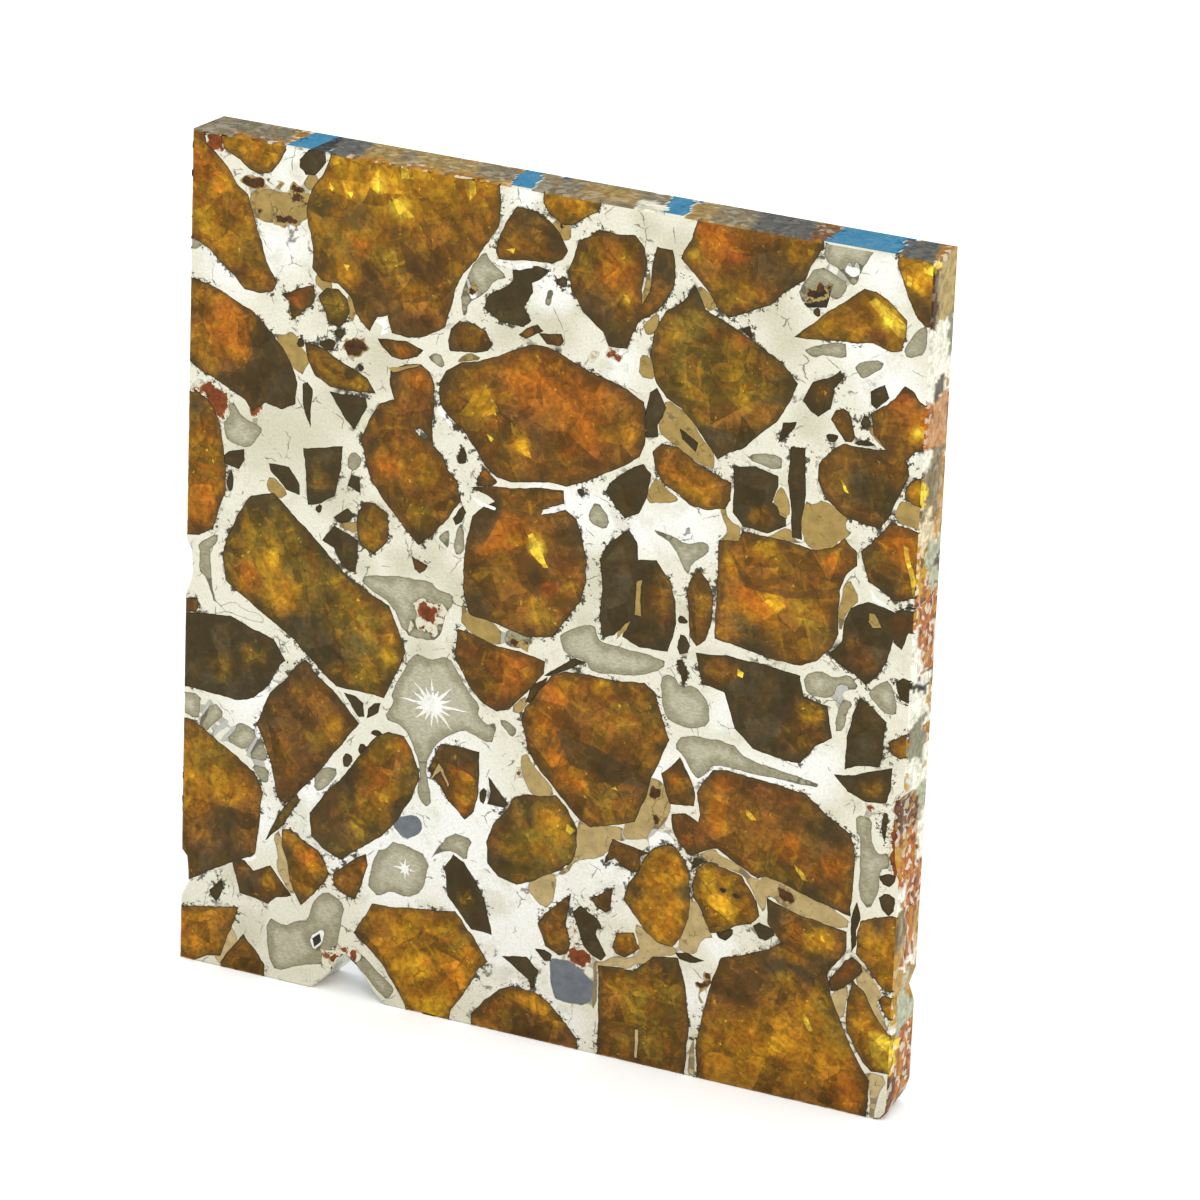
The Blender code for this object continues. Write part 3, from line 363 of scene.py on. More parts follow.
TAN_FIELDS: tuple[Numbers, ...] = (
    (4.6, 59.8, 5.4, 60.6, 7.6, 60.5, 9.7, 60.9, 9.4, 60.2, 9.4, 58.6, 5.2, 57.9), (8.9, 61.0, 10.4, 62.2),
    (10.0, 53.8, 11.5, 55.3), (12.6, 52.0, 13.3, 54.0),
    (6.7, 49.9, 7.6, 50.0, 8.2, 50.4, 8.8, 50.0, 8.9, 49.5, 9.8, 48.5, 9.0, 47.0),
    (21.3, 50.5, 22.3, 51.3, 23.4, 51.0, 21.6, 50.4), (35.9, 60.0, 36.1, 58.3, 35.6, 56.5, 35.3, 57.2),
    (35.5, 55.7, 36.9, 57.0, 36.5, 55.2, 35.9, 55.0),
    (35.5, 53.5, 36.2, 53.5, 36.4, 52.8, 36.7, 51.9, 35.4, 51.9),
    (39.5, 59.4, 40.9, 58.6, 41.0, 57.9, 40.6, 57.6, 39.9, 58.0),
    (37.5, 50.7, 39.3, 49.8, 40.5, 48.1, 41.0, 48.1, 41.5, 47.0, 41.3, 46.0, 37.3, 47.8, 36.9, 49.4,
     37.4, 49.1), (36.9, 44.7, 37.5, 44.6, 37.8, 44.1, 38.9, 43.5, 38.6, 43.2, 36.1, 42.7),
    (41.9, 43.5, 42.4, 43.6, 42.5, 43.0, 43.0, 42.5, 43.6, 42.4, 43.6, 41.0, 42.5, 41.0, 42.3, 41.3,
     42.7, 41.8),
    (48.3, 45.2, 49.0, 45.0, 49.7, 45.6, 51.6, 44.6, 51.4, 44.1, 51.6, 43.6, 52.0, 43.6, 51.3, 42.8,
     50.9, 42.8, 50.9, 42.2, 49.6, 41.7, 48.6, 42.0, 48.1, 43.3),
    (46.6, 46.0, 47.2, 44.9, 47.2, 43.7, 45.9, 44.2, 46.2, 45.5),
    (46.0, 42.3, 47.3, 43.1, 47.8, 42.2, 48.3, 42.0, 45.5, 41.9),
    (55.3, 46.3, 55.6, 46.6, 57.5, 46.3, 57.5, 44.6, 55.0, 45.0),
    (51.8, 40.4, 52.9, 38.8, 51.9, 37.8, 51.5, 36.0, 51.2, 37.6),
    (26.4, 25.1, 27.2, 25.0, 27.8, 26.0, 27.5, 26.5),
    (27.3, 21.7, 27.9, 22.1, 28.2, 21.4, 30.4, 19.5, 29.1, 19.0, 28.3, 19.0, 27.6, 20.3),
    (32.0, 17.9, 32.8, 17.6, 35.6, 18.1, 35.5, 17.4, 35.9, 17.0, 34.7, 17.0, 34.6, 16.2, 34.0, 15.4,
     32.0, 14.7, 31.4, 13.6, 30.4, 13.3, 31.9, 14.6),
    (35.6, 17.2, 35.8, 19.0, 37.2, 22.3, 38.6, 22.2, 39.3, 20.9, 39.0, 19.4, 38.2, 18.2, 37.2, 17.4),
    (41.3, 17.1, 42.8, 18.0, 43.2, 17.5, 44.3, 17.3, 46.3, 16.2, 46.7, 16.9, 53.2, 15.0, 53.2, 14.0,
     50.2, 14.1, 48.0, 14.8, 47.4, 15.3, 46.9, 15.1, 46.9, 14.3, 46.6, 13.9, 45.4, 16.2, 44.9, 16.5),
    (7.6, 11.3, 8.2, 12.0, 9.5, 7.2, 9.0, 7.2, 8.1, 8.6, 7.9, 9.2, 8.1, 10.0),
    (28.0, 12.0, 29.7, 13.2, 30.5, 13.3, 30.5, 11.4, 29.6, 10.4),
    (35.3, 7.3, 36.6, 7.3, 37.0, 7.8, 37.9, 8.0, 38.2, 8.6, 40.4, 9.2, 40.0, 9.8, 38.9, 9.7, 36.9, 11.0,
     36.9, 10.3, 37.3, 9.6, 37.2, 8.6, 36.4, 8.1, 35.5, 8.1, 34.4, 7.3, 33.8, 7.3, 33.7, 6.4),
    (33.7, 3.6, 34.1, 7.0),
    (41.1, 14.2, 43.1, 11.1, 42.4, 11.0, 42.0, 10.6, 41.7, 9.6, 40.8, 9.4, 40.2, 9.9, 40.9, 12.0),
    (52.2, 9.0, 53.7, 10.0, 53.1, 6.7, 52.3, 8.3),
    (54.3, 11.8, 55.9, 10.1, 56.1, 9.6, 55.7, 9.0, 56.6, 7.4, 56.6, 6.9, 55.6, 7.9, 53.9, 10.4, 54.5, 11.0),
    (41.5, -0.4, 42.0, 2.9), (55.0, 3.5, 56.9, 3.5, 56.1, 1.5, 56.0, -0.2, 55.7, -0.2, 55.6, 2.8),
    (22.3, 32.7, 22.8, 31.9, 25.5, 31.3, 25.5, 29.7, 22.4, 30.6),
    (6.4, 38.2, 7.6, 37.5, 8.3, 38.2, 6.8, 39.3), (12.3, 36.4, 12.9, 36.8, 14.0, 37.0, 13.9, 36.1),
    (3.0, -0.4, 5.0, 3.5), (28.2, 60.7, 30.0, 62.3),
    (53.5, 38.3, 53.8, 38.3, 54.5, 37.5, 54.2, 37.1, 53.6, 37.4),
    (52.7, 51.3, 53.1, 51.5, 54.5, 50.2, 54.1, 49.9),
)
RUST_FIELDS: tuple[Numbers, ...] = (
    (18.5, 29.9, 21.0, 32.2), (11.9, 1.7, 13.3, 3.6), (12.9, 2.8, 14.7, 4.0),
    (0.3, 44.9, 1.0, 45.4, 2.3, 45.3, 3.0, 44.9, 3.5, 44.3, 2.9, 42.7, 2.5, 42.5, 1.7, 44.0, 1.0, 44.4,
     0.3, 44.2),
    (19.0, 32.2, 19.6, 31.6, 20.1, 32.4, 20.3, 31.6, 21.1, 31.9, 20.5, 31.2, 21.0, 30.5, 20.2, 30.7,
     19.9, 29.6, 19.6, 30.7, 18.6, 30.4, 19.3, 31.1, 18.5, 31.5), (18.0, 29.7, 18.5, 30.2),
    (4.8, 43.6, 6.0, 44.9), (27.0, 20.0, 27.6, 21.0), (31.5, 6.5, 33.7, 8.2), (31.5, 8.5, 32.4, 10.0),
    (54.1, 23.2, 55.5, 23.7), (6.4, 14.3, 6.7, 15.1), (1.0, 62.5, 2.6, 64.4), (38.4, 18.4, 39.3, 18.9),
    (44.3, 10.0, 45.0, 10.7), (32.9, 52.8, 34.1, 53.6), (31.5, 52.6, 32.3, 53.0),
    (56.0, 20.2, 56.1, 24.6, 57.4, 25.6, 57.4, 18.4, 56.6, 18.9),
    (12.2, 2.1, 13.9, 3.9, 14.7, 3.3, 14.4, 2.4, 13.0, 1.8),
)
BLUE_GREY_FIELDS: tuple[Numbers, ...] = (
    (17.2, 14.4, 17.7, 15.0, 19.1, 15.5, 19.6, 15.1, 19.7, 14.5, 19.4, 14.0, 18.4, 13.4),
    (30.2, 6.4, 30.5, 6.8, 32.2, 6.8, 33.2, 5.9, 33.9, 5.6, 33.6, 3.7, 30.9, 3.5, 30.5, 4.3),
)
DARK_FIELDS: tuple[Numbers, ...] = (
    (47.3, 59.5, 49.4, 60.3, 49.7, 60.9, 49.3, 61.0, 48.1, 60.4), (4.2, 60.2, 6.2, 61.4),
    (6.7, 60.7, 7.3, 61.5), (7.8, 59.8, 9.2, 61.1), (6.3, 59.0, 6.8, 59.4), (5.2, 58.7, 5.6, 59.1),
    (6.5, 58.2, 8.6, 59.0), (12.3, 49.3, 14.4, 51.0), (37.6, 49.3, 38.0, 49.7), (38.2, 49.0, 38.6, 49.4),
    (38.2, 47.5, 38.6, 47.9), (37.6, 20.3, 38.6, 21.7), (37.7, 18.8, 38.5, 20.0), (47.8, 14.9, 49.0, 16.2),
    (26.1, 30.5, 27.8, 30.6, 27.6, 29.9, 26.3, 30.0), (22.1, 55.5, 22.7, 56.5), (28.8, 61.2, 29.3, 61.8),
    (8.0, 51.2, 8.8, 52.8), (42.8, 8.5, 42.7, 7.4, 42.0, 5.4, 42.1, 6.6, 41.8, 7.3, 42.2, 8.0),
)
WHITE_FIELDS: tuple[Numbers, ...] = (
    (37.4, 16.6, 39.8, 18.5), (10.7, 4.0, 11.8, 4.9, 12.0, 4.7, 11.8, 3.8, 11.2, 3.0),
    (21.9, 56.6, 22.1, 56.7, 22.2, 56.1, 22.8, 56.0, 22.8, 55.4, 22.4, 55.2, 22.1, 55.6),
    (50.3, 62.2, 50.7, 63.0, 51.0, 62.5, 51.3, 63.1, 51.6, 62.2, 51.0, 61.8),
    (1.3, 19.0, 2.0, 20.9, 2.3, 21.0, 1.7, 19.2), (2.3, 18.2, 3.5, 19.8, 3.8, 19.6, 2.6, 18.2),
    (3.1, 18.0, 4.2, 19.4, 4.4, 19.2, 3.4, 17.9), (5.2, 17.3, 6.2, 18.8, 6.4, 18.6, 5.5, 17.2),
    (51.6, 32.3, 52.4, 32.2, 51.9, 31.6, 51.5, 30.6, 51.3, 31.4),
)


def burst(centre: Point, core: float, lengths: Numbers) -> Numbers:
    """A star of metal needles round a centre, each with its own length in millimetres."""
    step = math.pi / len(lengths)
    points = []
    for index, length in enumerate(lengths):
        for reach, angle in ((length, 2 * index * step), (core, (2 * index + 1) * step)):
            points += (centre[0] + reach * math.cos(angle), centre[1] + reach * math.sin(angle))
    return tuple(points)


def points_of(numbers: Numbers) -> Outline:
    """Read an outline's points from its numbers, two for each point."""
    return tuple(zip(numbers[::2], numbers[1::2]))


# Metal and sulphide that reach into the crystals, and needles in the plessite.
BRIGHT_INLAYS: tuple[Numbers, ...] = (
    burst((20.2, 24.3), 0.75,
          (3.0, 1.7, 2.3, 1.3, 2.0, 1.4, 2.2, 1.8, 2.7, 1.5, 1.9, 1.4, 1.8, 1.5, 2.4, 1.7)),
    burst((18.4, 11.1), 0.28, (1.0, 0.6, 0.9, 0.7, 1.1, 0.6, 0.8, 0.7)),
    (18.2, 44.8, 18.7, 45.0, 19.3, 44.5, 19.0, 44.2, 18.5, 44.5),
    (24.1, 58.2, 24.4, 58.5, 26.0, 58.4, 26.8, 58.8, 27.0, 58.4, 26.0, 58.0, 24.6, 58.0),
    (28.3, 40.3, 29.4, 40.7, 30.2, 41.1, 30.0, 41.4, 28.4, 40.7),
    (22.8, 40.6, 23.7, 40.4, 24.8, 40.2, 24.7, 40.0, 23.4, 40.1),
    (53.5, 39.8, 54.0, 39.2, 55.0, 38.7, 55.6, 38.3, 54.7, 38.5, 53.8, 38.9),
    (56.1, 38.8, 57.2, 38.95, 57.2, 38.8, 56.2, 38.65), (5.0, 9.0, 5.6, 8.9, 6.3, 9.3, 6.2, 9.5, 5.4, 9.2),
    (14.8, 52.3, 15.7, 52.7, 15.9, 51.6, 15.3, 51.3, 15.5, 52.0),
    (19.9, 47.0, 20.3, 46.8, 21.3, 45.8, 21.0, 45.7, 20.1, 46.3),
)
TAN_INLAYS: tuple[Numbers, ...] = (
    (35.9, 36.8, 36.3, 37.0, 36.2, 35.4, 36.3, 34.3, 35.8, 34.3),
    (35.5, 33.8, 35.2, 33.0, 34.5, 32.1, 34.6, 32.7, 35.1, 33.5),
    (53.6, 37.9, 54.0, 37.9, 54.6, 37.1, 53.9, 36.9, 53.6, 37.3),
    (20.3, 18.6, 20.9, 19.9, 21.2, 19.6, 21.8, 18.4, 21.7, 18.2, 21.1, 19.3),
    (16.0, 49.0, 18.6, 49.8, 18.4, 49.6, 16.4, 48.7), (46.2, 44.6, 47.0, 45.3, 47.1, 43.6, 46.5, 43.8),
    (37.2, 2.7, 37.5, 2.7, 37.45, 0.5, 37.25, 0.5),
)
DARK_INLAYS: tuple[Numbers, ...] = (
    (11.2, 3.3, 11.0, 4.0, 11.6, 4.5, 11.7, 3.9), (22.2, 55.6, 22.5, 55.5, 22.3, 56.2),
    (49.2, 59.3, 49.6, 60.9, 48.5, 60.3, 47.5, 59.3, 47.8, 59.1), (43.4, 14.8, 43.8, 15.1),
    (44.4, 14.6, 44.8, 14.9),
)

# Flat cleavage faces and glints that show inside the crystals. The yellow glints are painted highlights,
# where fractures in the stone catch the light; the golden faces are partly the stone's own colour, partly
# painted highlight.
FACETS: dict[Pigment, tuple[Numbers, ...]] = {
    Pigment.SHADE: (
        (30.0, 24.4, 33.5, 23.6, 38.0, 21.9, 37.6, 21.3, 31.3, 21.9),
        (2.2, 46.2, 4.4, 46.6, 5.2, 48.2, 4.9, 49.6, 5.6, 50.8, 7.2, 49.4, 8.9, 46.4, 8.9, 44.0, 6.0, 44.0,
         2.4, 45.6), (21.0, 20.2, 22.0, 20.0, 24.2, 19.2, 24.6, 21.6, 21.0, 21.8),
        (43.2, 46.8, 46.6, 46.2, 46.0, 44.2, 44.6, 44.8, 43.2, 45.0),
    ),
    Pigment.DARK_BROWN: (
        (24.3, 48.0, 26.0, 47.9, 29.4, 46.3, 28.6, 45.6, 25.0, 47.0),
        (27.2, 37.6, 28.4, 36.0, 28.4, 33.8, 26.8, 35.2, 26.2, 36.7),
        (42.4, 8.8, 44.2, 9.6, 47.0, 9.6, 48.0, 8.6, 46.4, 6.6, 43.6, 6.2),
        (43.0, 40.4, 44.8, 38.3, 48.0, 38.4, 51.4, 39.4, 51.2, 38.6, 47.4, 37.8, 44.0, 38.0),
        (16.6, 58.6, 18.0, 57.8, 20.4, 56.8, 19.6, 55.6, 17.2, 56.4),
    ),
    Pigment.BROWN: (
        (23.8, 36.4, 26.4, 36.9, 27.4, 33.4, 24.8, 33.6),
        (18.0, 60.2, 22.4, 61.6, 23.9, 60.6, 22.0, 57.4, 19.6, 57.2),
        (39.4, 50.6, 43.0, 50.6, 46.2, 51.8, 45.6, 50.6, 43.0, 49.0, 40.4, 49.4),
    ),
    Pigment.OLIVE_GOLD: (
        (41.5, 52.2, 43.3, 53.8, 44.4, 52.6, 43.0, 50.9),
        (12.4, 33.0, 13.6, 32.2, 15.2, 29.2, 14.4, 28.6, 13.4, 30.0),
        (47.6, 38.0, 49.6, 38.0, 50.2, 36.2, 48.4, 36.0),
        (51.0, 10.2, 53.9, 5.4, 53.3, 4.6, 51.8, 5.6, 51.0, 7.6),
    ),
    Pigment.ORANGE: (
        (43.6, 37.6, 44.8, 38.2, 46.7, 36.5, 46.9, 35.4, 45.0, 36.2),
        (29.0, 23.0, 30.2, 22.9, 32.4, 20.9, 32.6, 20.2, 31.2, 20.3, 29.6, 21.6),
        (42.2, 21.6, 43.8, 21.8, 43.4, 20.0, 42.8, 18.8, 42.4, 19.6),
        (0.0, 63.0, 1.6, 61.6, 2.8, 60.2, 2.0, 59.4, 0.0, 60.4),
        (25.0, 39.4, 27.0, 39.6, 27.0, 37.6, 23.8, 36.9),
    ),
    Pigment.AMBER: (
        (37.9, 16.6, 38.8, 14.6, 40.3, 13.0, 39.8, 11.4, 38.4, 12.0),
        (27.4, 3.6, 29.6, 3.2, 31.6, 2.2, 31.0, 1.8, 26.8, 3.0),
        (0.0, 15.6, 1.8, 14.6, 2.4, 12.4, 1.0, 11.4, 0.0, 11.8),
        (22.8, 20.0, 24.2, 19.0, 24.0, 17.4, 22.6, 16.8, 22.0, 18.4),
    ),
    Pigment.GOLD: (
        (44.8, 38.1, 46.4, 37.9, 47.3, 37.2, 46.6, 36.5), (21.6, 46.6, 23.6, 49.2, 24.7, 47.4, 23.6, 46.7),
        (25.8, 46.6, 26.6, 46.0, 27.4, 44.4, 26.8, 44.5, 26.1, 45.6),
        (48.0, 57.6, 49.2, 58.4, 49.8, 57.8, 48.6, 57.2),
        (18.8, 4.6, 19.6, 4.4, 20.2, 3.2, 19.8, 2.4, 18.9, 2.8),
        (20.0, 1.2, 21.6, 1.5, 22.4, 0.6, 21.8, 0.0, 20.2, 0.0),
        (42.0, 16.4, 43.2, 15.6, 43.6, 14.0, 44.8, 13.9, 44.4, 12.8, 42.8, 13.4, 41.8, 15.0),
        (11.0, 64.2, 13.4, 64.2, 13.0, 62.8, 11.6, 62.4),
        (17.4, 64.2, 19.6, 63.8, 20.4, 62.0, 18.8, 61.8, 17.6, 62.6),
        (0.0, 58.2, 1.4, 58.0, 2.0, 56.9, 0.8, 56.6, 0.0, 57.0),
        (33.0, 28.8, 34.6, 28.9, 34.4, 28.4, 33.2, 28.3),
        (45.0, 41.7, 46.3, 41.4, 46.4, 40.8, 45.4, 40.4, 44.6, 40.9),
        (49.2, 29.9, 50.6, 30.1, 50.8, 29.4, 49.6, 29.2),
        (49.9, 13.1, 51.2, 13.2, 52.4, 12.9, 52.2, 12.2, 50.4, 12.3),
    ),
    Pigment.YELLOW: (
        (52.3, 60.3, 52.8, 60.7, 54.8, 59.4, 55.3, 58.9, 55.2, 58.1, 54.6, 58.2),
        (15.9, 61.6, 16.6, 61.4, 17.7, 60.4, 17.3, 60.2, 16.4, 60.6),
        (18.0, 59.9, 18.8, 59.8, 19.4, 59.0, 19.0, 58.8, 18.6, 59.3),
        (14.4, 62.8, 15.2, 62.6, 15.6, 61.8, 14.8, 61.7), (16.5, 64.1, 17.0, 64.1, 17.2, 63.2, 16.6, 63.1),
        (13.6, 63.4, 14.2, 63.7, 14.3, 63.1), (21.5, 63.9, 22.3, 64.0, 22.5, 63.0, 22.0, 62.4, 21.6, 62.9),
        (11.0, 61.9, 11.4, 61.5, 11.2, 61.2), (12.4, 61.4, 12.8, 61.5, 12.7, 61.0),
        (12.2, 56.1, 12.7, 56.0, 12.5, 55.6), (20.3, 56.4, 20.8, 56.1, 20.6, 55.9),
        (27.3, 38.6, 27.7, 38.9, 29.0, 36.5, 28.6, 36.4, 27.7, 37.2),
        (24.0, 47.8, 24.3, 47.2, 24.6, 47.0, 24.4, 47.6), (23.8, 45.6, 24.4, 45.3, 24.2, 45.0),
        (25.7, 46.5, 26.1, 46.4, 26.3, 45.8, 25.9, 45.8), (16.2, 16.3, 16.8, 16.5, 17.0, 16.0, 16.3, 15.9),
        (22.8, 18.7, 23.9, 18.8, 23.6, 17.9, 22.9, 18.0), (31.2, 17.4, 31.9, 17.0, 31.5, 16.6, 31.1, 16.9),
        (34.6, 20.9, 34.9, 21.1, 35.1, 20.8), (45.0, 21.5, 45.5, 21.2, 45.9, 20.8, 45.5, 20.7, 45.1, 21.0),
        (48.9, 18.1, 49.6, 17.7, 50.0, 17.0, 49.6, 17.1, 49.2, 17.6),
        (43.9, 31.9, 44.4, 31.7, 44.3, 31.3, 43.9, 31.4),
        (50.2, 6.9, 50.6, 6.6, 51.0, 5.7, 50.7, 5.6, 50.3, 6.2),
        (51.2, 13.0, 52.0, 12.9, 51.9, 12.4, 51.2, 12.5), (55.8, 43.4, 56.2, 43.2, 57.2, 39.6, 56.8, 39.6),
        (47.6, 63.3, 48.1, 63.2, 47.9, 62.8, 47.6, 62.9), (56.1, 63.9, 56.9, 63.6, 57.0, 62.9, 56.3, 63.0),
        (55.0, 62.7, 55.4, 62.6, 55.3, 61.9, 55.0, 62.0),
        (55.2, 6.6, 55.9, 7.0, 57.2, 6.4, 57.2, 3.8, 56.6, 3.8, 56.2, 4.6, 55.6, 4.8),
        (50.9, 47.3, 51.3, 46.9, 51.6, 46.3, 51.2, 46.5), (34.0, 57.8, 34.5, 57.3, 34.5, 57.0, 34.1, 57.3),
        (24.9, 59.3, 25.6, 59.5, 25.5, 59.1),
    ),
}

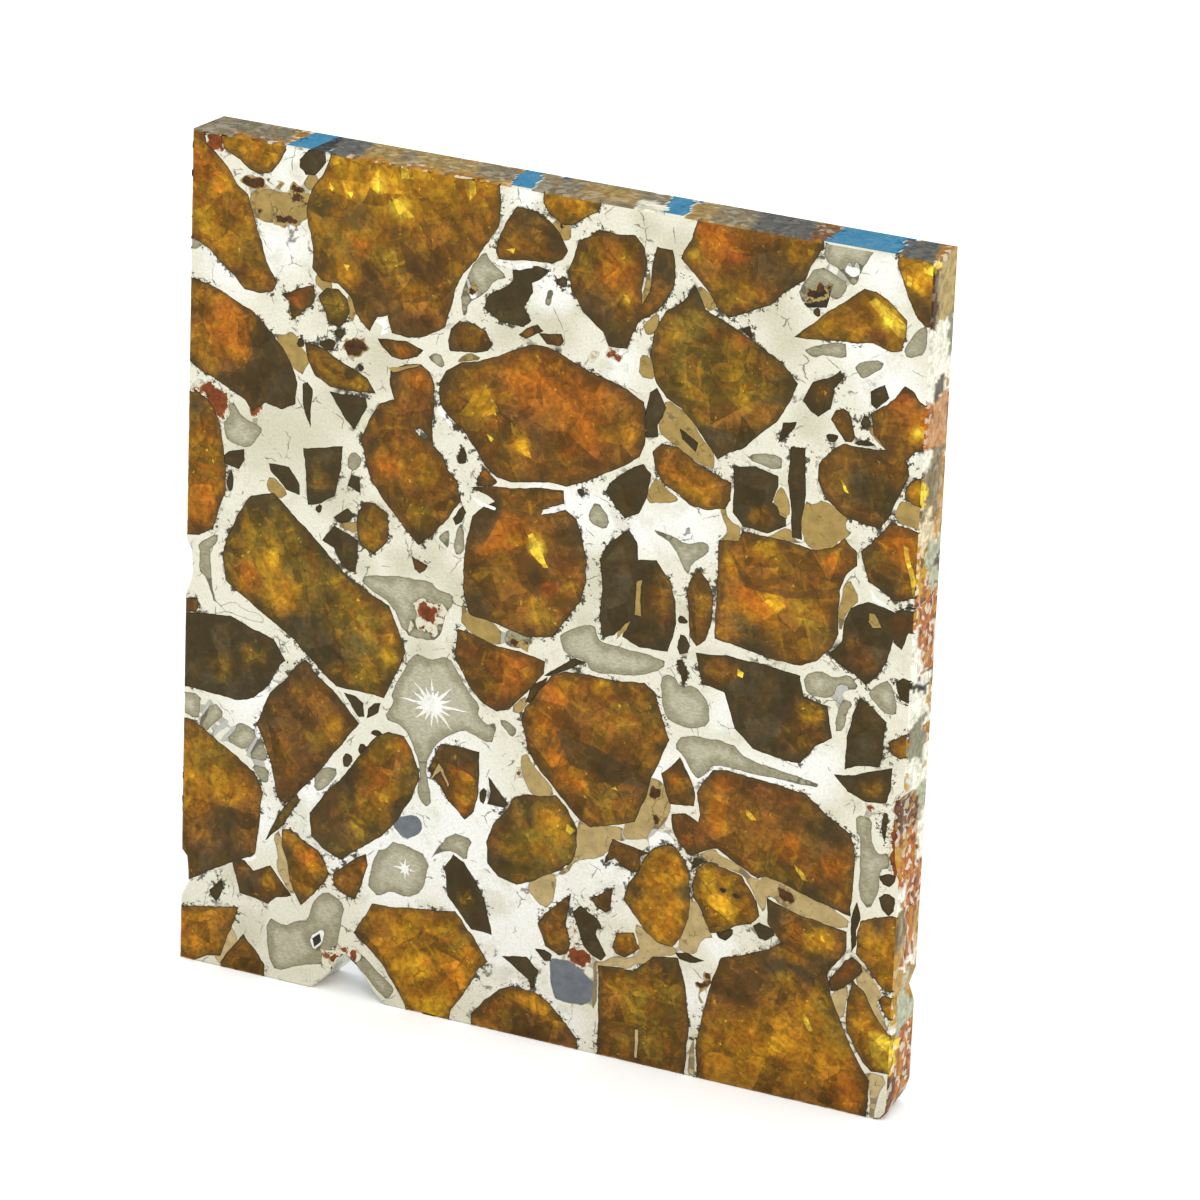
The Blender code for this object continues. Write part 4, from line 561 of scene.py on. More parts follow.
# Soft colour in the crystals, dark tones first. Three numbers are a round patch: its middle and radius. Five
# are a streak: its two ends and half-width.
STONE_TONES: dict[Pigment, tuple[Numbers, ...]] = {
    Pigment.SHADE: (
        (52.2, 47.4, 2.3), (54.0, 46.4, 1.6), (45.4, 50.8, 1.6), (43.4, 48.8, 1.3), (14.0, 22.6, 1.3),
        (12.6, 14.4, 13.4, 16.8, 1.8), (26.5, 61.8, 1.4), (28.6, 60.6, 1.0), (20.9, 52.0, 1.1),
        (14.8, 53.6, 2.0), (17.6, 52.4, 1.4), (7.2, 46.3, 2.6), (6.2, 49.6, 1.5), (12.0, 51.2, 0.8),
        (16.5, 48.4, 1.0), (29.9, 57.6, 1.7), (31.6, 56.0, 1.8), (33.6, 54.8, 1.5), (30.8, 61.2, 1.2),
        (37.2, 60.2, 1.6), (39.6, 58.1, 1.3), (41.4, 48.6, 1.8), (44.8, 61.6, 1.6), (46.9, 60.8, 1.2),
        (56.3, 60.6, 1.3), (0.6, 43.4, 1.3), (6.1, 37.0, 1.6), (9.0, 36.2, 14.0, 32.8, 0.9),
        (9.0, 28.6, 12.0, 26.2, 1.9), (9.6, 24.6, 1.4), (7.0, 20.6, 1.2), (23.5, 38.4, 1.3),
        (24.6, 39.8, 1.0), (23.5, 33.0, 1.4), (31.0, 39.0, 1.7), (31.6, 33.4, 1.1), (2.0, 8.2, 1.8),
        (4.2, 9.6, 1.6), (3.8, 11.8, 2.0), (12.5, 13.0, 2.2), (14.0, 17.4, 1.0), (18.6, 18.2, 0.9),
        (18.0, 15.4, 1.1), (5.6, 7.3, 1.3), (15.0, 5.4, 1.1), (36.7, 13.2, 0.9), (47.4, 14.0, 1.1),
        (39.6, 8.0, 1.1), (47.5, 10.3, 51.6, 9.4, 0.9), (37.1, 7.6, 37.2, 3.0, 0.45), (36.2, 32.6, 1.2),
        (34.6, 38.6, 1.6), (44.4, 28.6, 2.0), (46.8, 27.6, 1.5), (47.0, 31.4, 2.2), (51.2, 21.2, 2.0),
        (45.2, 33.8, 1.6), (53.4, 37.2, 1.2), (54.6, 39.9, 1.4), (28.3, 17.3, 1.0), (9.0, 10.2, 0.8),
        (10.0, 7.0, 0.9), (55.6, 15.0, 1.3), (51.6, 11.2, 1.2), (25.8, 13.4, 1.2), (50.9, 16.4, 1.0),
        (20.6, 49.0, 1.0), (26.2, 52.6, 30.0, 52.2, 0.9), (34.6, 44.4, 1.4), (18.8, 36.6, 1.1),
        (14.9, 43.0, 1.0), (38.6, 28.0, 0.9), (39.0, 24.6, 1.0), (40.8, 20.4, 0.8),
    ),
    Pigment.DARK_OLIVE: (
        (10.4, 60.0, 1.2), (13.2, 59.8, 1.6), (14.0, 54.8, 1.6), (12.6, 14.4, 1.6), (12.9, 34.5, 0.9),
        (40.5, 14.0, 0.8), (54.4, 46.4, 1.2), (8.2, 36.0, 1.6), (14.0, 27.6, 1.3), (9.8, 18.2, 1.1),
        (38.6, 1.4, 1.2), (44.6, 57.8, 1.4), (46.4, 53.0, 1.5), (40.8, 37.4, 0.8), (44.0, 35.2, 1.2),
        (51.6, 13.6, 1.0), (23.4, 7.0, 0.9),
    ),
    Pigment.DARK_BROWN: (
        (8.6, 23.4, 12.8, 22.6, 2.4), (10.0, 17.0, 9.0, 20.6, 2.2), (13.0, 13.6, 12.4, 15.6, 1.8),
        (10.6, 55.6, 14.0, 54.6, 1.3), (14.5, 53.2, 19.6, 52.6, 1.4), (13.2, 56.8, 15.0, 56.0, 1.0),
        (18.6, 57.6, 14.6, 55.4, 1.3), (16.2, 58.9, 1.2), (28.4, 45.4, 1.3), (30.4, 51.9, 34.4, 50.9, 0.9),
        (8.6, 15.3, 1.3), (12.8, 22.8, 1.1), (28.5, 36.0, 1.6), (26.0, 16.8, 1.3), (28.0, 0.9, 1.6),
        (31.5, 0.8, 1.2), (38.4, 4.2, 1.3), (45.2, 7.6, 2.2), (33.6, 22.4, 36.8, 21.6, 1.3),
        (46.0, 22.8, 1.6), (48.6, 21.6, 1.4), (52.6, 35.0, 1.6), (3.4, 47.0, 1.2), (23.0, 25.8, 1.0),
        (37.4, 19.8, 0.9), (6.2, 58.4, 0.9), (4.2, 61.0, 1.0),
    ),
    Pigment.RED_BROWN: (
        (4.0, 53.7, 1.4), (6.4, 53.8, 0.9), (19.4, 53.6, 1.7), (18.6, 46.2, 1.7), (26.8, 48.2, 1.2),
        (29.6, 46.4, 0.9), (15.0, 31.3, 1.3), (23.0, 29.0, 1.1), (25.6, 25.8, 1.1), (0.8, 34.0, 1.1),
        (38.4, 34.4, 0.8), (53.0, 34.2, 1.0), (51.4, 40.8, 0.8), (44.4, 2.0, 1.2),
        (44.6, 23.4, 48.6, 23.0, 0.8), (41.0, 19.0, 1.2), (30.4, 37.2, 1.0), (56.2, 37.4, 1.1),
        (53.0, 58.0, 1.2), (21.2, 37.6, 0.9), (32.4, 45.4, 1.3), (25.4, 14.8, 0.9),
    ),
    Pigment.BROWN: (
        (20.6, 58.6, 2.8), (19.8, 55.2, 1.8), (23.4, 61.8, 1.4), (3.6, 58.6, 1.5), (22.8, 52.2, 1.2),
        (33.6, 61.4, 1.1), (35.2, 58.4, 0.8), (36.9, 57.8, 1.0), (42.0, 60.4, 1.9), (51.0, 59.2, 1.3),
        (41.0, 56.4, 45.2, 54.2, 1.0), (37.2, 54.2, 1.1), (40.4, 50.4, 45.0, 50.8, 0.9), (49.3, 53.3, 0.8),
        (54.2, 51.6, 1.2), (33.8, 48.2, 1.5), (10.6, 22.4, 1.5), (8.7, 18.6, 8.9, 16.4, 0.6),
        (16.8, 29.4, 1.2), (20.6, 41.0, 1.3), (37.6, 35.6, 1.5), (49.2, 34.4, 1.2), (50.4, 38.4, 1.1),
        (42.4, 31.3, 1.4), (49.2, 27.8, 1.7), (16.8, 6.2, 1.5), (35.4, 3.4, 1.5), (54.0, 8.2, 1.1),
        (55.0, 4.4, 0.9), (24.4, 6.6, 1.0), (3.6, 3.4, 1.3), (5.2, 1.2, 1.3), (45.0, 43.4, 1.1),
        (17.4, 19.2, 1.4), (54.6, 25.0, 1.0), (14.2, 9.4, 1.1), (48.6, 12.4, 1.0), (43.0, 12.4, 1.0),
        (52.4, 42.0, 1.2),
    ),
    Pigment.OLIVE: (
        (5.0, 55.8, 1.5), (11.4, 57.6, 1.9), (31.0, 59.4, 1.1), (41.9, 59.0, 0.9), (40.6, 54.2, 2.8),
        (24.6, 44.9, 1.1), (17.2, 39.2, 1.2), (7.6, 34.6, 2.2), (5.4, 35.6, 1.1), (3.0, 23.9, 1.2),
        (5.6, 25.0, 1.0), (12.6, 25.3, 0.9), (28.0, 14.6, 1.7), (37.2, 27.4, 1.5), (49.8, 35.7, 1.3),
        (38.2, 37.4, 0.9), (40.2, 5.6, 1.5), (12.0, 48.1, 1.7), (51.0, 47.3, 0.9), (53.4, 42.0, 0.9),
        (46.6, 17.6, 49.6, 17.0, 0.6), (23.2, 9.6, 0.8), (10.8, 39.6, 0.8), (9.0, 6.8, 0.5),
        (36.4, 1.4, 0.9), (34.0, 20.2, 1.4), (13.4, 15.2, 0.8), (51.4, 8.8, 53.0, 5.6, 0.9),
        (16.0, 14.4, 0.9),
    ),
    Pigment.RED_ORANGE: (
        (1.3, 59.3, 0.8), (42.2, 62.2, 1.1), (1.0, 36.0, 1.6), (22.8, 19.6, 0.7), (54.9, 53.8, 1.0),
        (40.6, 18.0, 0.7), (43.0, 56.0, 0.8), (29.0, 35.0, 0.7), (8.6, 53.3, 1.0), (40.4, 63.4, 1.2),
        (45.4, 36.4, 0.9), (30.4, 45.6, 0.7),
    ),
    Pigment.ORANGE: (
        (1.0, 61.8, 2.0), (13.6, 57.8, 0.8), (2.9, 49.6, 2.2), (4.0, 47.8, 0.6), (17.1, 50.5, 0.8),
        (18.3, 48.9, 1.2), (27.6, 50.4, 2.5), (31.0, 49.6, 2.2), (31.2, 47.0, 1.8), (33.2, 59.5, 1.5),
        (34.6, 57.7, 0.7), (40.8, 62.3, 1.3), (56.7, 51.8, 1.3), (38.2, 45.0, 1.1), (1.6, 41.4, 1.0),
        (0.6, 37.6, 1.6), (16.0, 41.8, 1.1), (26.0, 38.6, 1.4), (24.0, 36.8, 0.7), (26.2, 28.4, 1.9),
        (30.0, 27.4, 1.5), (29.4, 24.8, 1.1), (44.6, 37.1, 1.4), (50.8, 41.2, 0.9), (55.4, 43.4, 1.3),
        (49.6, 26.2, 0.9), (41.2, 21.6, 0.9), (43.0, 23.2, 0.8), (48.4, 19.2, 1.1), (51.8, 18.4, 1.0),
        (10.6, 10.7, 1.2), (0.5, 2.6, 1.5), (15.0, 10.8, 0.7), (16.0, 17.6, 1.6), (22.2, 3.6, 1.5),
        (45.9, 14.6, 0.9), (49.1, 12.9, 0.8), (53.2, 2.4, 1.6), (54.2, 1.4, 1.1), (42.6, 1.0, 0.9),
        (54.7, 12.8, 1.0), (23.3, 17.0, 0.9), (5.0, 31.3, 1.2), (16.1, 36.2, 0.5), (39.4, 22.8, 0.8),
        (18.2, 20.6, 0.8), (53.0, 10.9, 0.9), (23.9, 42.3, 0.7),
    ),
    Pigment.AMBER: (
        (45.4, 3.2, 51.4, 4.4, 3.0), (1.0, 16.0, 4.0, 14.6, 1.6), (42.2, 14.8, 45.4, 13.8, 1.8),
        (19.8, 2.2, 20.4, 5.6, 2.4), (1.6, 60.2, 2.6, 57.0, 0.9), (4.4, 63.1, 1.3), (12.2, 55.2, 1.3),
        (18.8, 63.0, 2.0), (14.4, 47.3, 0.9), (0.8, 52.2, 1.4), (0.4, 48.2, 1.4), (35.0, 47.4, 0.9),
        (0.8, 39.2, 2.0), (18.6, 42.2, 1.6), (15.1, 35.7, 0.8), (8.0, 30.2, 1.7), (16.9, 28.7, 0.9),
        (12.2, 21.2, 0.9), (15.2, 15.2, 0.8), (40.4, 44.8, 1.3), (43.1, 39.6, 1.0), (39.2, 12.6, 1.4),
        (38.6, 15.2, 1.0), (35.5, 6.3, 1.2), (28.6, 3.2, 31.2, 2.2, 0.7), (24.0, 5.0, 0.9),
        (18.4, 6.6, 20.6, 4.8, 0.9), (47.0, 3.8, 2.2), (50.4, 7.5, 0.7), (1.0, 14.4, 1.6),
        (30.2, 17.2, 1.3), (56.3, 12.0, 1.2), (42.6, 21.6, 43.0, 19.4, 0.6), (32.2, 20.6, 29.6, 22.0, 0.7),
        (7.3, 7.8, 0.7), (40.2, 58.9, 0.7), (48.8, 57.7, 1.1), (30.8, 28.0, 0.8), (21.0, 7.4, 1.5),
        (30.6, 63.4, 1.6),
    ),
    Pigment.OLIVE_GOLD: (
        (37.4, 6.6, 38.6, 2.2, 1.8), (11.2, 53.0, 0.9), (15.6, 57.2, 1.9), (39.0, 61.5, 1.0),
        (40.0, 51.4, 1.4), (43.0, 52.4, 1.2), (2.2, 16.6, 2.0), (12.4, 32.2, 15.0, 28.6, 0.8),
        (15.0, 25.1, 1.6), (11.0, 19.8, 1.0), (14.8, 13.7, 0.8), (11.0, 8.7, 0.9), (22.4, 6.4, 1.0),
        (29.2, 15.2, 1.4), (19.0, 38.6, 1.1), (25.4, 35.2, 1.1), (48.6, 37.3, 1.2), (41.0, 36.4, 0.5),
        (48.2, 9.0, 0.9), (45.0, 18.8, 0.8), (40.4, 6.2, 0.9), (36.5, 1.3, 0.6), (28.6, 32.8, 1.1),
        (51.0, 12.8, 1.2), (35.0, 26.4, 1.2), (6.4, 33.8, 1.2),
    ),
    # Golden patches: partly the stone's own colour, partly painted highlight.
    Pigment.GOLD: (
        (12.4, 62.9, 1.9), (15.4, 62.4, 2.1), (0.6, 57.6, 1.2), (30.8, 63.4, 1.0), (34.0, 60.2, 0.6),
        (34.2, 57.3, 0.6), (46.7, 62.9, 0.7), (55.4, 62.3, 0.9), (56.4, 63.2, 0.8), (23.4, 48.0, 1.1),
        (26.4, 45.5, 0.8), (19.2, 41.4, 0.7), (6.7, 32.5, 1.1), (16.8, 27.2, 0.6), (28.0, 28.0, 0.6),
        (33.6, 28.6, 0.9), (45.5, 41.0, 1.0), (46.2, 37.4, 0.9), (49.8, 29.7, 0.8), (16.8, 16.3, 0.8),
        (19.5, 3.4, 1.1), (21.0, 0.7, 1.2), (23.3, 18.4, 0.8), (43.4, 14.6, 1.4), (44.2, 13.4, 1.0),
        (51.2, 12.7, 0.8), (55.6, 6.0, 1.0), (56.6, 10.2, 0.9), (34.2, 18.2, 35.6, 18.2, 0.4),
        (56.4, 51.2, 0.7), (56.8, 47.3, 0.6), (27.6, 38.2, 0.8), (53.6, 59.6, 1.0), (48.0, 4.0, 0.7),
        (39.5, 44.3, 0.6),
    ),
    # Yellow patches are painted glints: highlights where fractures inside the stone catch the light.
    Pigment.YELLOW: (
        (16.6, 61.0, 0.8), (14.9, 62.3, 0.6), (0.5, 57.8, 0.6), (31.5, 63.2, 0.5), (45.5, 41.1, 0.5),
        (56.7, 5.0, 1.0), (56.6, 51.6, 0.4), (53.8, 59.6, 0.6), (28.0, 37.8, 0.5),
    ),
}

# Soft colour in the metal, written as in the crystals.
METAL_TONES: dict[Pigment, tuple[Numbers, ...]] = {
    Pigment.HAZE: (
        (9.0, 42.6, 3.6), (12.6, 46.0, 2.4), (5.6, 42.0, 3.2), (12.0, 38.8, 2.2), (22.3, 33.6, 1.6),
        (20.0, 35.2, 1.6), (28.6, 54.4, 2.2), (15.4, 49.6, 2.4), (45.4, 58.6, 1.8), (46.6, 56.4, 2.0),
        (33.0, 36.6, 2.2), (31.8, 33.2, 1.4), (19.4, 28.2, 1.3), (8.8, 24.2, 1.4), (10.6, 21.0, 1.0),
        (30.6, 56.8, 1.6), (48.4, 51.0, 1.4), (38.0, 61.8, 1.6), (14.4, 33.8, 1.0), (39.8, 35.4, 1.0),
        (5.4, 3.4, 1.6), (4.4, 8.0, 1.0), (25.0, 53.2, 1.6), (35.6, 62.8, 1.2), (17.6, 34.6, 1.4),
        (8.4, 3.0, 1.2), (50.4, 22.6, 2.0), (55.0, 28.0, 1.2), (15.6, 37.6, 1.2),
    ),
    Pigment.BRIGHT: (
        (4.0, 24.4, 13.0, 12.4, 3.0), (15.0, 13.6, 28.0, 12.0, 4.0), (22.0, 20.0, 28.0, 4.0, 3.6),
        (52.0, 57.6, 56.0, 52.0, 2.4), (38.6, 22.8, 50.0, 24.6, 2.2), (29.0, 41.6, 36.0, 40.6, 2.4),
        (7.4, 56.6, 2.4), (7.6, 62.8, 1.8), (3.6, 54.4, 2.6), (40.0, 42.0, 2.6), (27.0, 10.0, 5.0),
        (24.0, 16.0, 3.0), (41.6, 6.0, 2.2), (34.6, 14.0, 3.0), (53.4, 62.4, 2.0), (50.4, 26.6, 1.8),
        (17.4, 9.6, 3.4), (31.6, 2.0, 2.0), (43.4, 28.4, 1.8), (6.2, 12.6, 2.4), (26.4, 63.4, 1.4),
        (43.6, 10.6, 1.6), (28.6, 57.0, 1.8), (34.0, 52.6, 1.6),
    ),
}


@dataclass(frozen=True)
class SideBand:
    """Colour on a sawn side, between two places along it and two depths, in millimetres."""

    low: float
    high: float
    shallow: float
    deep: float
    pigment: Pigment

    def covers(self, along: float, depth: float) -> bool:
        """Whether a place on the side lies in the band."""
        return self.low <= along <= self.high and self.shallow <= depth <= self.deep


# The side that is on the right, from its foot to its top, and the upper side, from left to right.
RIGHT_BANDS = tuple(SideBand(*band) for band in (
    (0.0, 3.5, 0.0, 4.0, Pigment.WEATHERED),
    (0.8, 7.5, 1.1, 4.0, Pigment.BRIGHT_RUST),
    (3.6, 6.8, 0.0, 1.1, Pigment.YELLOW),
    (6.5, 11.0, 0.7, 3.6, Pigment.SAGE),
    (7.3, 9.8, 0.0, 0.9, Pigment.GOLD),
    (8.8, 11.4, 3.1, 4.0, Pigment.OCHRE),
    (9.5, 13.0, 0.0, 1.7, Pigment.OCHRE),
    (11.4, 12.2, 1.6, 4.0, Pigment.CREAM),
    (12.2, 15.6, 1.4, 3.4, Pigment.BRIGHT_RUST),
    (12.2, 14.8, 3.1, 4.0, Pigment.OCHRE),
    (13.0, 15.8, 0.0, 1.5, Pigment.DRAB),
    (16.2, 18.4, 0.0, 1.1, Pigment.CREAM),
    (15.6, 19.0, 1.1, 4.0, Pigment.BRIGHT_RUST),
    (18.4, 21.6, 0.0, 3.2, Pigment.BRIGHT_RUST),
    (20.0, 21.4, 0.0, 1.4, Pigment.OCHRE),
    (19.2, 23.0, 3.0, 4.0, Pigment.CREAM),
    (21.6, 24.8, 0.0, 3.1, Pigment.WEATHERED),
    (23.0, 25.2, 2.9, 4.0, Pigment.SAGE),
    (25.0, 27.2, 0.0, 4.0, Pigment.CREAM),
    (25.7, 26.3, 2.2, 3.4, Pigment.OCHRE),
    (25.4, 26.6, 0.0, 0.5, Pigment.OCHRE),
    (27.0, 30.0, 0.3, 3.0, Pigment.MOSS),
    (29.0, 30.0, 0.0, 0.6, Pigment.WEATHERED),
    (30.0, 33.6, 0.0, 4.0, Pigment.CREAM),
    (30.0, 33.8, 3.4, 4.0, Pigment.OCHRE),
    (32.4, 33.3, 0.0, 1.3, Pigment.SHADE),
    (31.8, 32.6, 1.0, 2.8, Pigment.SHADE),
    (33.8, 40.2, 0.0, 4.0, Pigment.BRIGHT_RUST),
    (33.6, 37.0, 0.0, 1.2, Pigment.CREAM),
    (39.8, 43.4, 1.5, 4.0, Pigment.SAGE),
    (41.0, 42.0, 3.2, 3.9, Pigment.SLATE_BROWN),
    (39.6, 43.4, 0.0, 1.4, Pigment.GOLD),
    (43.4, 46.2, 0.0, 4.0, Pigment.PALE_TAN),
    (45.4, 49.6, 0.0, 3.0, Pigment.DRAB),
    (46.4, 48.0, 0.0, 0.6, Pigment.YELLOW),
    (43.6, 50.2, 3.0, 4.0, Pigment.OCHRE),
    (49.0, 50.3, 0.0, 1.4, Pigment.CREAM),
    (49.4, 50.3, 1.4, 4.0, Pigment.DRAB),
    (50.3, 53.9, 0.7, 4.0, Pigment.SANDY),
    (50.3, 53.7, 0.0, 0.7, Pigment.ORANGE),
    (53.9, 59.6, 0.0, 4.0, Pigment.CREAM),
    (53.9, 55.2, 1.3, 2.4, Pigment.SLATE_BROWN),
    (54.4, 55.3, 2.8, 3.7, Pigment.OCHRE),
    (56.0, 59.4, 3.1, 4.0, Pigment.MOSS),
    (59.6, 64.0, 0.0, 1.1, Pigment.DARK_BROWN),
    (59.6, 64.0, 1.1, 4.0, Pigment.KHAKI),
    (62.9, 64.0, 0.0, 1.0, Pigment.YELLOW),
))
TOP_BANDS = tuple(SideBand(*band) for band in (
    (0.0, 7.4, 0.0, 4.0, Pigment.DRAB),
    (3.2, 7.0, 0.0, 0.7, Pigment.AMBER),
    (10.8, 13.2, 0.0, 4.0, Pigment.SLATE_BROWN),
    (13.2, 25.0, 0.0, 4.0, Pigment.MUSTARD),
    (12.4, 25.0, 0.0, 0.6, Pigment.AMBER),
    (16.0, 17.0, 1.2, 4.0, Pigment.DRAB),
    (22.0, 25.0, 1.0, 4.0, Pigment.DRAB),
    (26.8, 36.8, 0.0, 4.0, Pigment.DRAB),
    (30.2, 34.4, 0.6, 3.4, Pigment.MUSTARD),
    (34.6, 36.8, 0.0, 1.6, Pigment.HAZE),
    (38.4, 43.0, 0.0, 4.0, Pigment.MUSTARD),
    (40.4, 43.4, 0.0, 4.0, Pigment.DRAB),
    (43.4, 47.8, 0.0, 4.0, Pigment.SLATE_BROWN),
    (54.4, 57.0, 0.0, 4.0, Pigment.SLATE_BROWN),
))


@dataclass(frozen=True)
class Zone:
    """A soft patch or streak of colour on the face."""

    start: Point
    end: Point
    reach: float
    pigment: Pigment

    @classmethod
    def from_numbers(cls, numbers: tuple[float, ...], pigment: Pigment) -> Zone:
        """Read a patch from three numbers or a streak from five."""
        start, end = (numbers[0], numbers[1]), (numbers[-3], numbers[-2])
        return cls(start, end, numbers[-1], pigment)

    def share(self, place: Point) -> float:
        """How strongly the patch shows at a place, 0 to 1."""
        foot = between(self.start, self.end, share_along(place, self.start, self.end))
        away = math.dist(place, foot) / (self.reach * PATCH_SPREAD)
        if away >= 1.0:
            return 0.0
        return (1.0 - away * away * (3.0 - 2.0 * away)) ** PATCH_FADE


def toned(base: Colour, place: Point, zones: Sequence[Zone]) -> Colour:
    """A colour with the zones that lie over it at a place.

    Args:
        base: The linear colour underneath.
        place: The place on the face.
        zones: The zones, the last on top.

    Returns:
        The colour there.
    """
    spot = Vector((place[0] * PATCH_FINENESS, place[1] * PATCH_FINENESS, PATCH_LAYER))
    wander = noise.noise_vector(spot) * PATCH_WANDER
    moved = (place[0] + wander.x, place[1] + wander.y)
    colour = base
    for zone in zones:
        colour = over(colour, zone.pigment.linear, zone.share(moved))
    return colour


def is_inside(place: Point, outline: Outline) -> bool:
    """Whether a place lies inside a closed outline."""
    inside = False
    for (u0, v0), (u1, v1) in zip(outline, [*outline[1:], outline[0]]):
        if (v0 > place[1]) != (v1 > place[1]) and place[0] < u0 + (u1 - u0) * (place[1] - v0) / (v1 - v0):
            inside = not inside
    return inside


@dataclass(frozen=True)
class SawnEdge:
    """The slab's box and its edge, as it was sawn."""

    width: float
    height: float
    thickness: float
    chamfer: float = 0.12

    @classmethod
    def from_frame(cls) -> SawnEdge:
        """Read the slab's size, in millimetres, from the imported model."""
        low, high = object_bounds()
        return cls(
            width=(high[0] - low[0]) / MM,
            height=(high[2] - low[2]) / MM,
            thickness=(high[1] - low[1]) / MM,
        )

    def place(self, u: float, v: float, depth: float) -> Vector:
        """The place of a point in metres.

        Args:
            u: Millimetres from the left edge.
            v: Millimetres from the bottom edge.
            depth: Millimetres behind the front face.

        Returns:
            The point in the model's frame.
        """
        return Vector(((u - self.width / 2) * MM, (depth - self.thickness / 2) * MM, v * MM))


@dataclass(frozen=True)
class Grain:
    """How finely outlines and faces are cut up, in millimetres."""

    outline_step: float = 0.20
    field_step: float = 0.40
    clear_of_outlines: float = 0.12
    scatter: float = 0.11
    waviness: float = 0.08
    fine_waviness: float = 0.05
    torn: float = 0.55
    gap: float = 0.012


@dataclass(frozen=True)
class Drift:
    """How the crystals wander on their way through the slab, as the solids do."""

    along_u: float = 0.55
    along_v: float = 0.50
    edge: float = 4.0

    def at(self, u: float, v: float, slab: SawnEdge) -> Point:
        """The place on the back face that belongs to a place on the front face.

        Args:
            u: Millimetres from the left edge.
            v: Millimetres from the bottom edge.
            slab: The sawn slab.

        Returns:
            The place on the back face.
        """
        inward = min(u, slab.width - u, v, slab.height - v)
        share = min(max(inward / self.edge, 0.0), 1.0)
        du = self.along_u * math.sin(math.tau * (u / 23.0 + v / 41.0) + 0.6) * share
        dv = self.along_v * math.sin(math.tau * (v / 19.0 - u / 37.0) + 1.9) * share
        return u + du, v + dv


def signed_area(outline: Outline) -> float:
    """The area inside an outline, above zero where it runs anticlockwise."""
    total = 0.0
    for (u0, v0), (u1, v1) in zip(outline, [*outline[1:], outline[0]]):
        total += u0 * v1 - u1 * v0
    return total / 2


def middle(outline: Outline) -> Point:
    """The mean of an outline's points."""
    return sum(u for u, _ in outline) / len(outline), sum(v for _, v in outline) / len(outline)


def anticlockwise(outline: Outline) -> list[Point]:
    """The outline, turned round if it runs clockwise."""
    return list(outline) if signed_area(outline) > 0 else list(outline)[::-1]


def rounded_grain(corners: Outline) -> list[Point]:
    """A rounded, slightly lopsided grain that fills the box between two corners."""
    (u0, v0), (u1, v1) = corners
    cu, cv = (u0 + u1) / 2, (v0 + v1) / 2
    steps = 9
    points = []
    for step in range(steps):
        angle = math.tau * step / steps
        reach = 1.0 + 0.14 * math.sin(3.0 * angle + cu) + 0.10 * math.sin(2.0 * angle + cv)
        points.append((cu + reach * math.cos(angle) * abs(u1 - u0) / 2,
                       cv + reach * math.sin(angle) * abs(v1 - v0) / 2))
    return points


def cut_corners(outline: Outline, passes: int) -> list[Point]:
    """Round an outline by cutting each of its corners, as often as there are passes."""
    points = list(outline)
    for _ in range(passes):
        rounded = []
        for start, end in zip(points, [*points[1:], points[0]]):
            rounded += (between(start, end, CORNER_SHARE), between(end, start, CORNER_SHARE))
        points = rounded
    return points


def step_along(outline: Outline, step: float) -> list[Point]:
    """Place points along a closed outline, no further apart than a step."""
    points = []
    for start, end in zip(outline, [*outline[1:], outline[0]]):
        pieces = max(1, math.ceil(math.dist(start, end) / step))
        points += [between(start, end, piece / pieces) for piece in range(pieces)]
    return points


def thin_out(outline: Outline, least: float) -> list[Point]:
    """Drop points that lie closer than a distance to the one before."""
    kept = [outline[0]]
    for point in outline[1:]:
        if math.dist(point, kept[-1]) >= least:
            kept.append(point)
    if len(kept) > 3 and math.dist(kept[0], kept[-1]) < least:
        kept.pop()
    return kept


def natural(outline: Outline, grain: Grain, rounding: int = 0, ragged: float = 0.0) -> list[Point]:
    """A grown edge: a fine, uneven line.

    Args:
        outline: The outline's main points, or two corners of a rounded grain.
        grain: How fine and how wavy the line is.
        rounding: How often the corners are cut.
        ragged: How far the line is torn, in millimetres.

    Returns:
        The finished outline, anticlockwise.
    """
    points = rounded_grain(outline) if len(outline) == 2 else list(outline)
    points = cut_corners(anticlockwise(points), rounding)
    points = thin_out(step_along(points, grain.outline_step), grain.outline_step * CLOSEST)
    wavy = []
    for u, v in points:
        slow, fast, torn = (noise.noise_vector(Vector((u * fineness, v * fineness, layer)))
                            for fineness, layer in (SLOW_WAVES, FINE_WAVES, TORN_WAVES))
        wavy.append((u + slow.x * grain.waviness + fast.x * grain.fine_waviness + torn.x * ragged,
                     v + slow.y * grain.waviness + fast.y * grain.fine_waviness + torn.y * ragged))
    return wavy


def grown(outline: Outline, amount: float) -> list[Point]:
    """Push an anticlockwise outline outwards, with its corners kept from running away."""
    result = []
    count = len(outline)
    for index, (u, v) in enumerate(outline):
        before = outline[index - 1]
        after = outline[(index + 1) % count]
        one = Vector((v - before[1], before[0] - u)).normalized()
        two = Vector((after[1] - v, u - after[0])).normalized()
        both = one + two
        if both.length < 0.2:
            both = one
        reach = min(amount / max(both.normalized().dot(one), 0.3), amount * 1.8)
        outwards = both.normalized() * reach
        result.append((u + outwards.x, v + outwards.y))
    return result


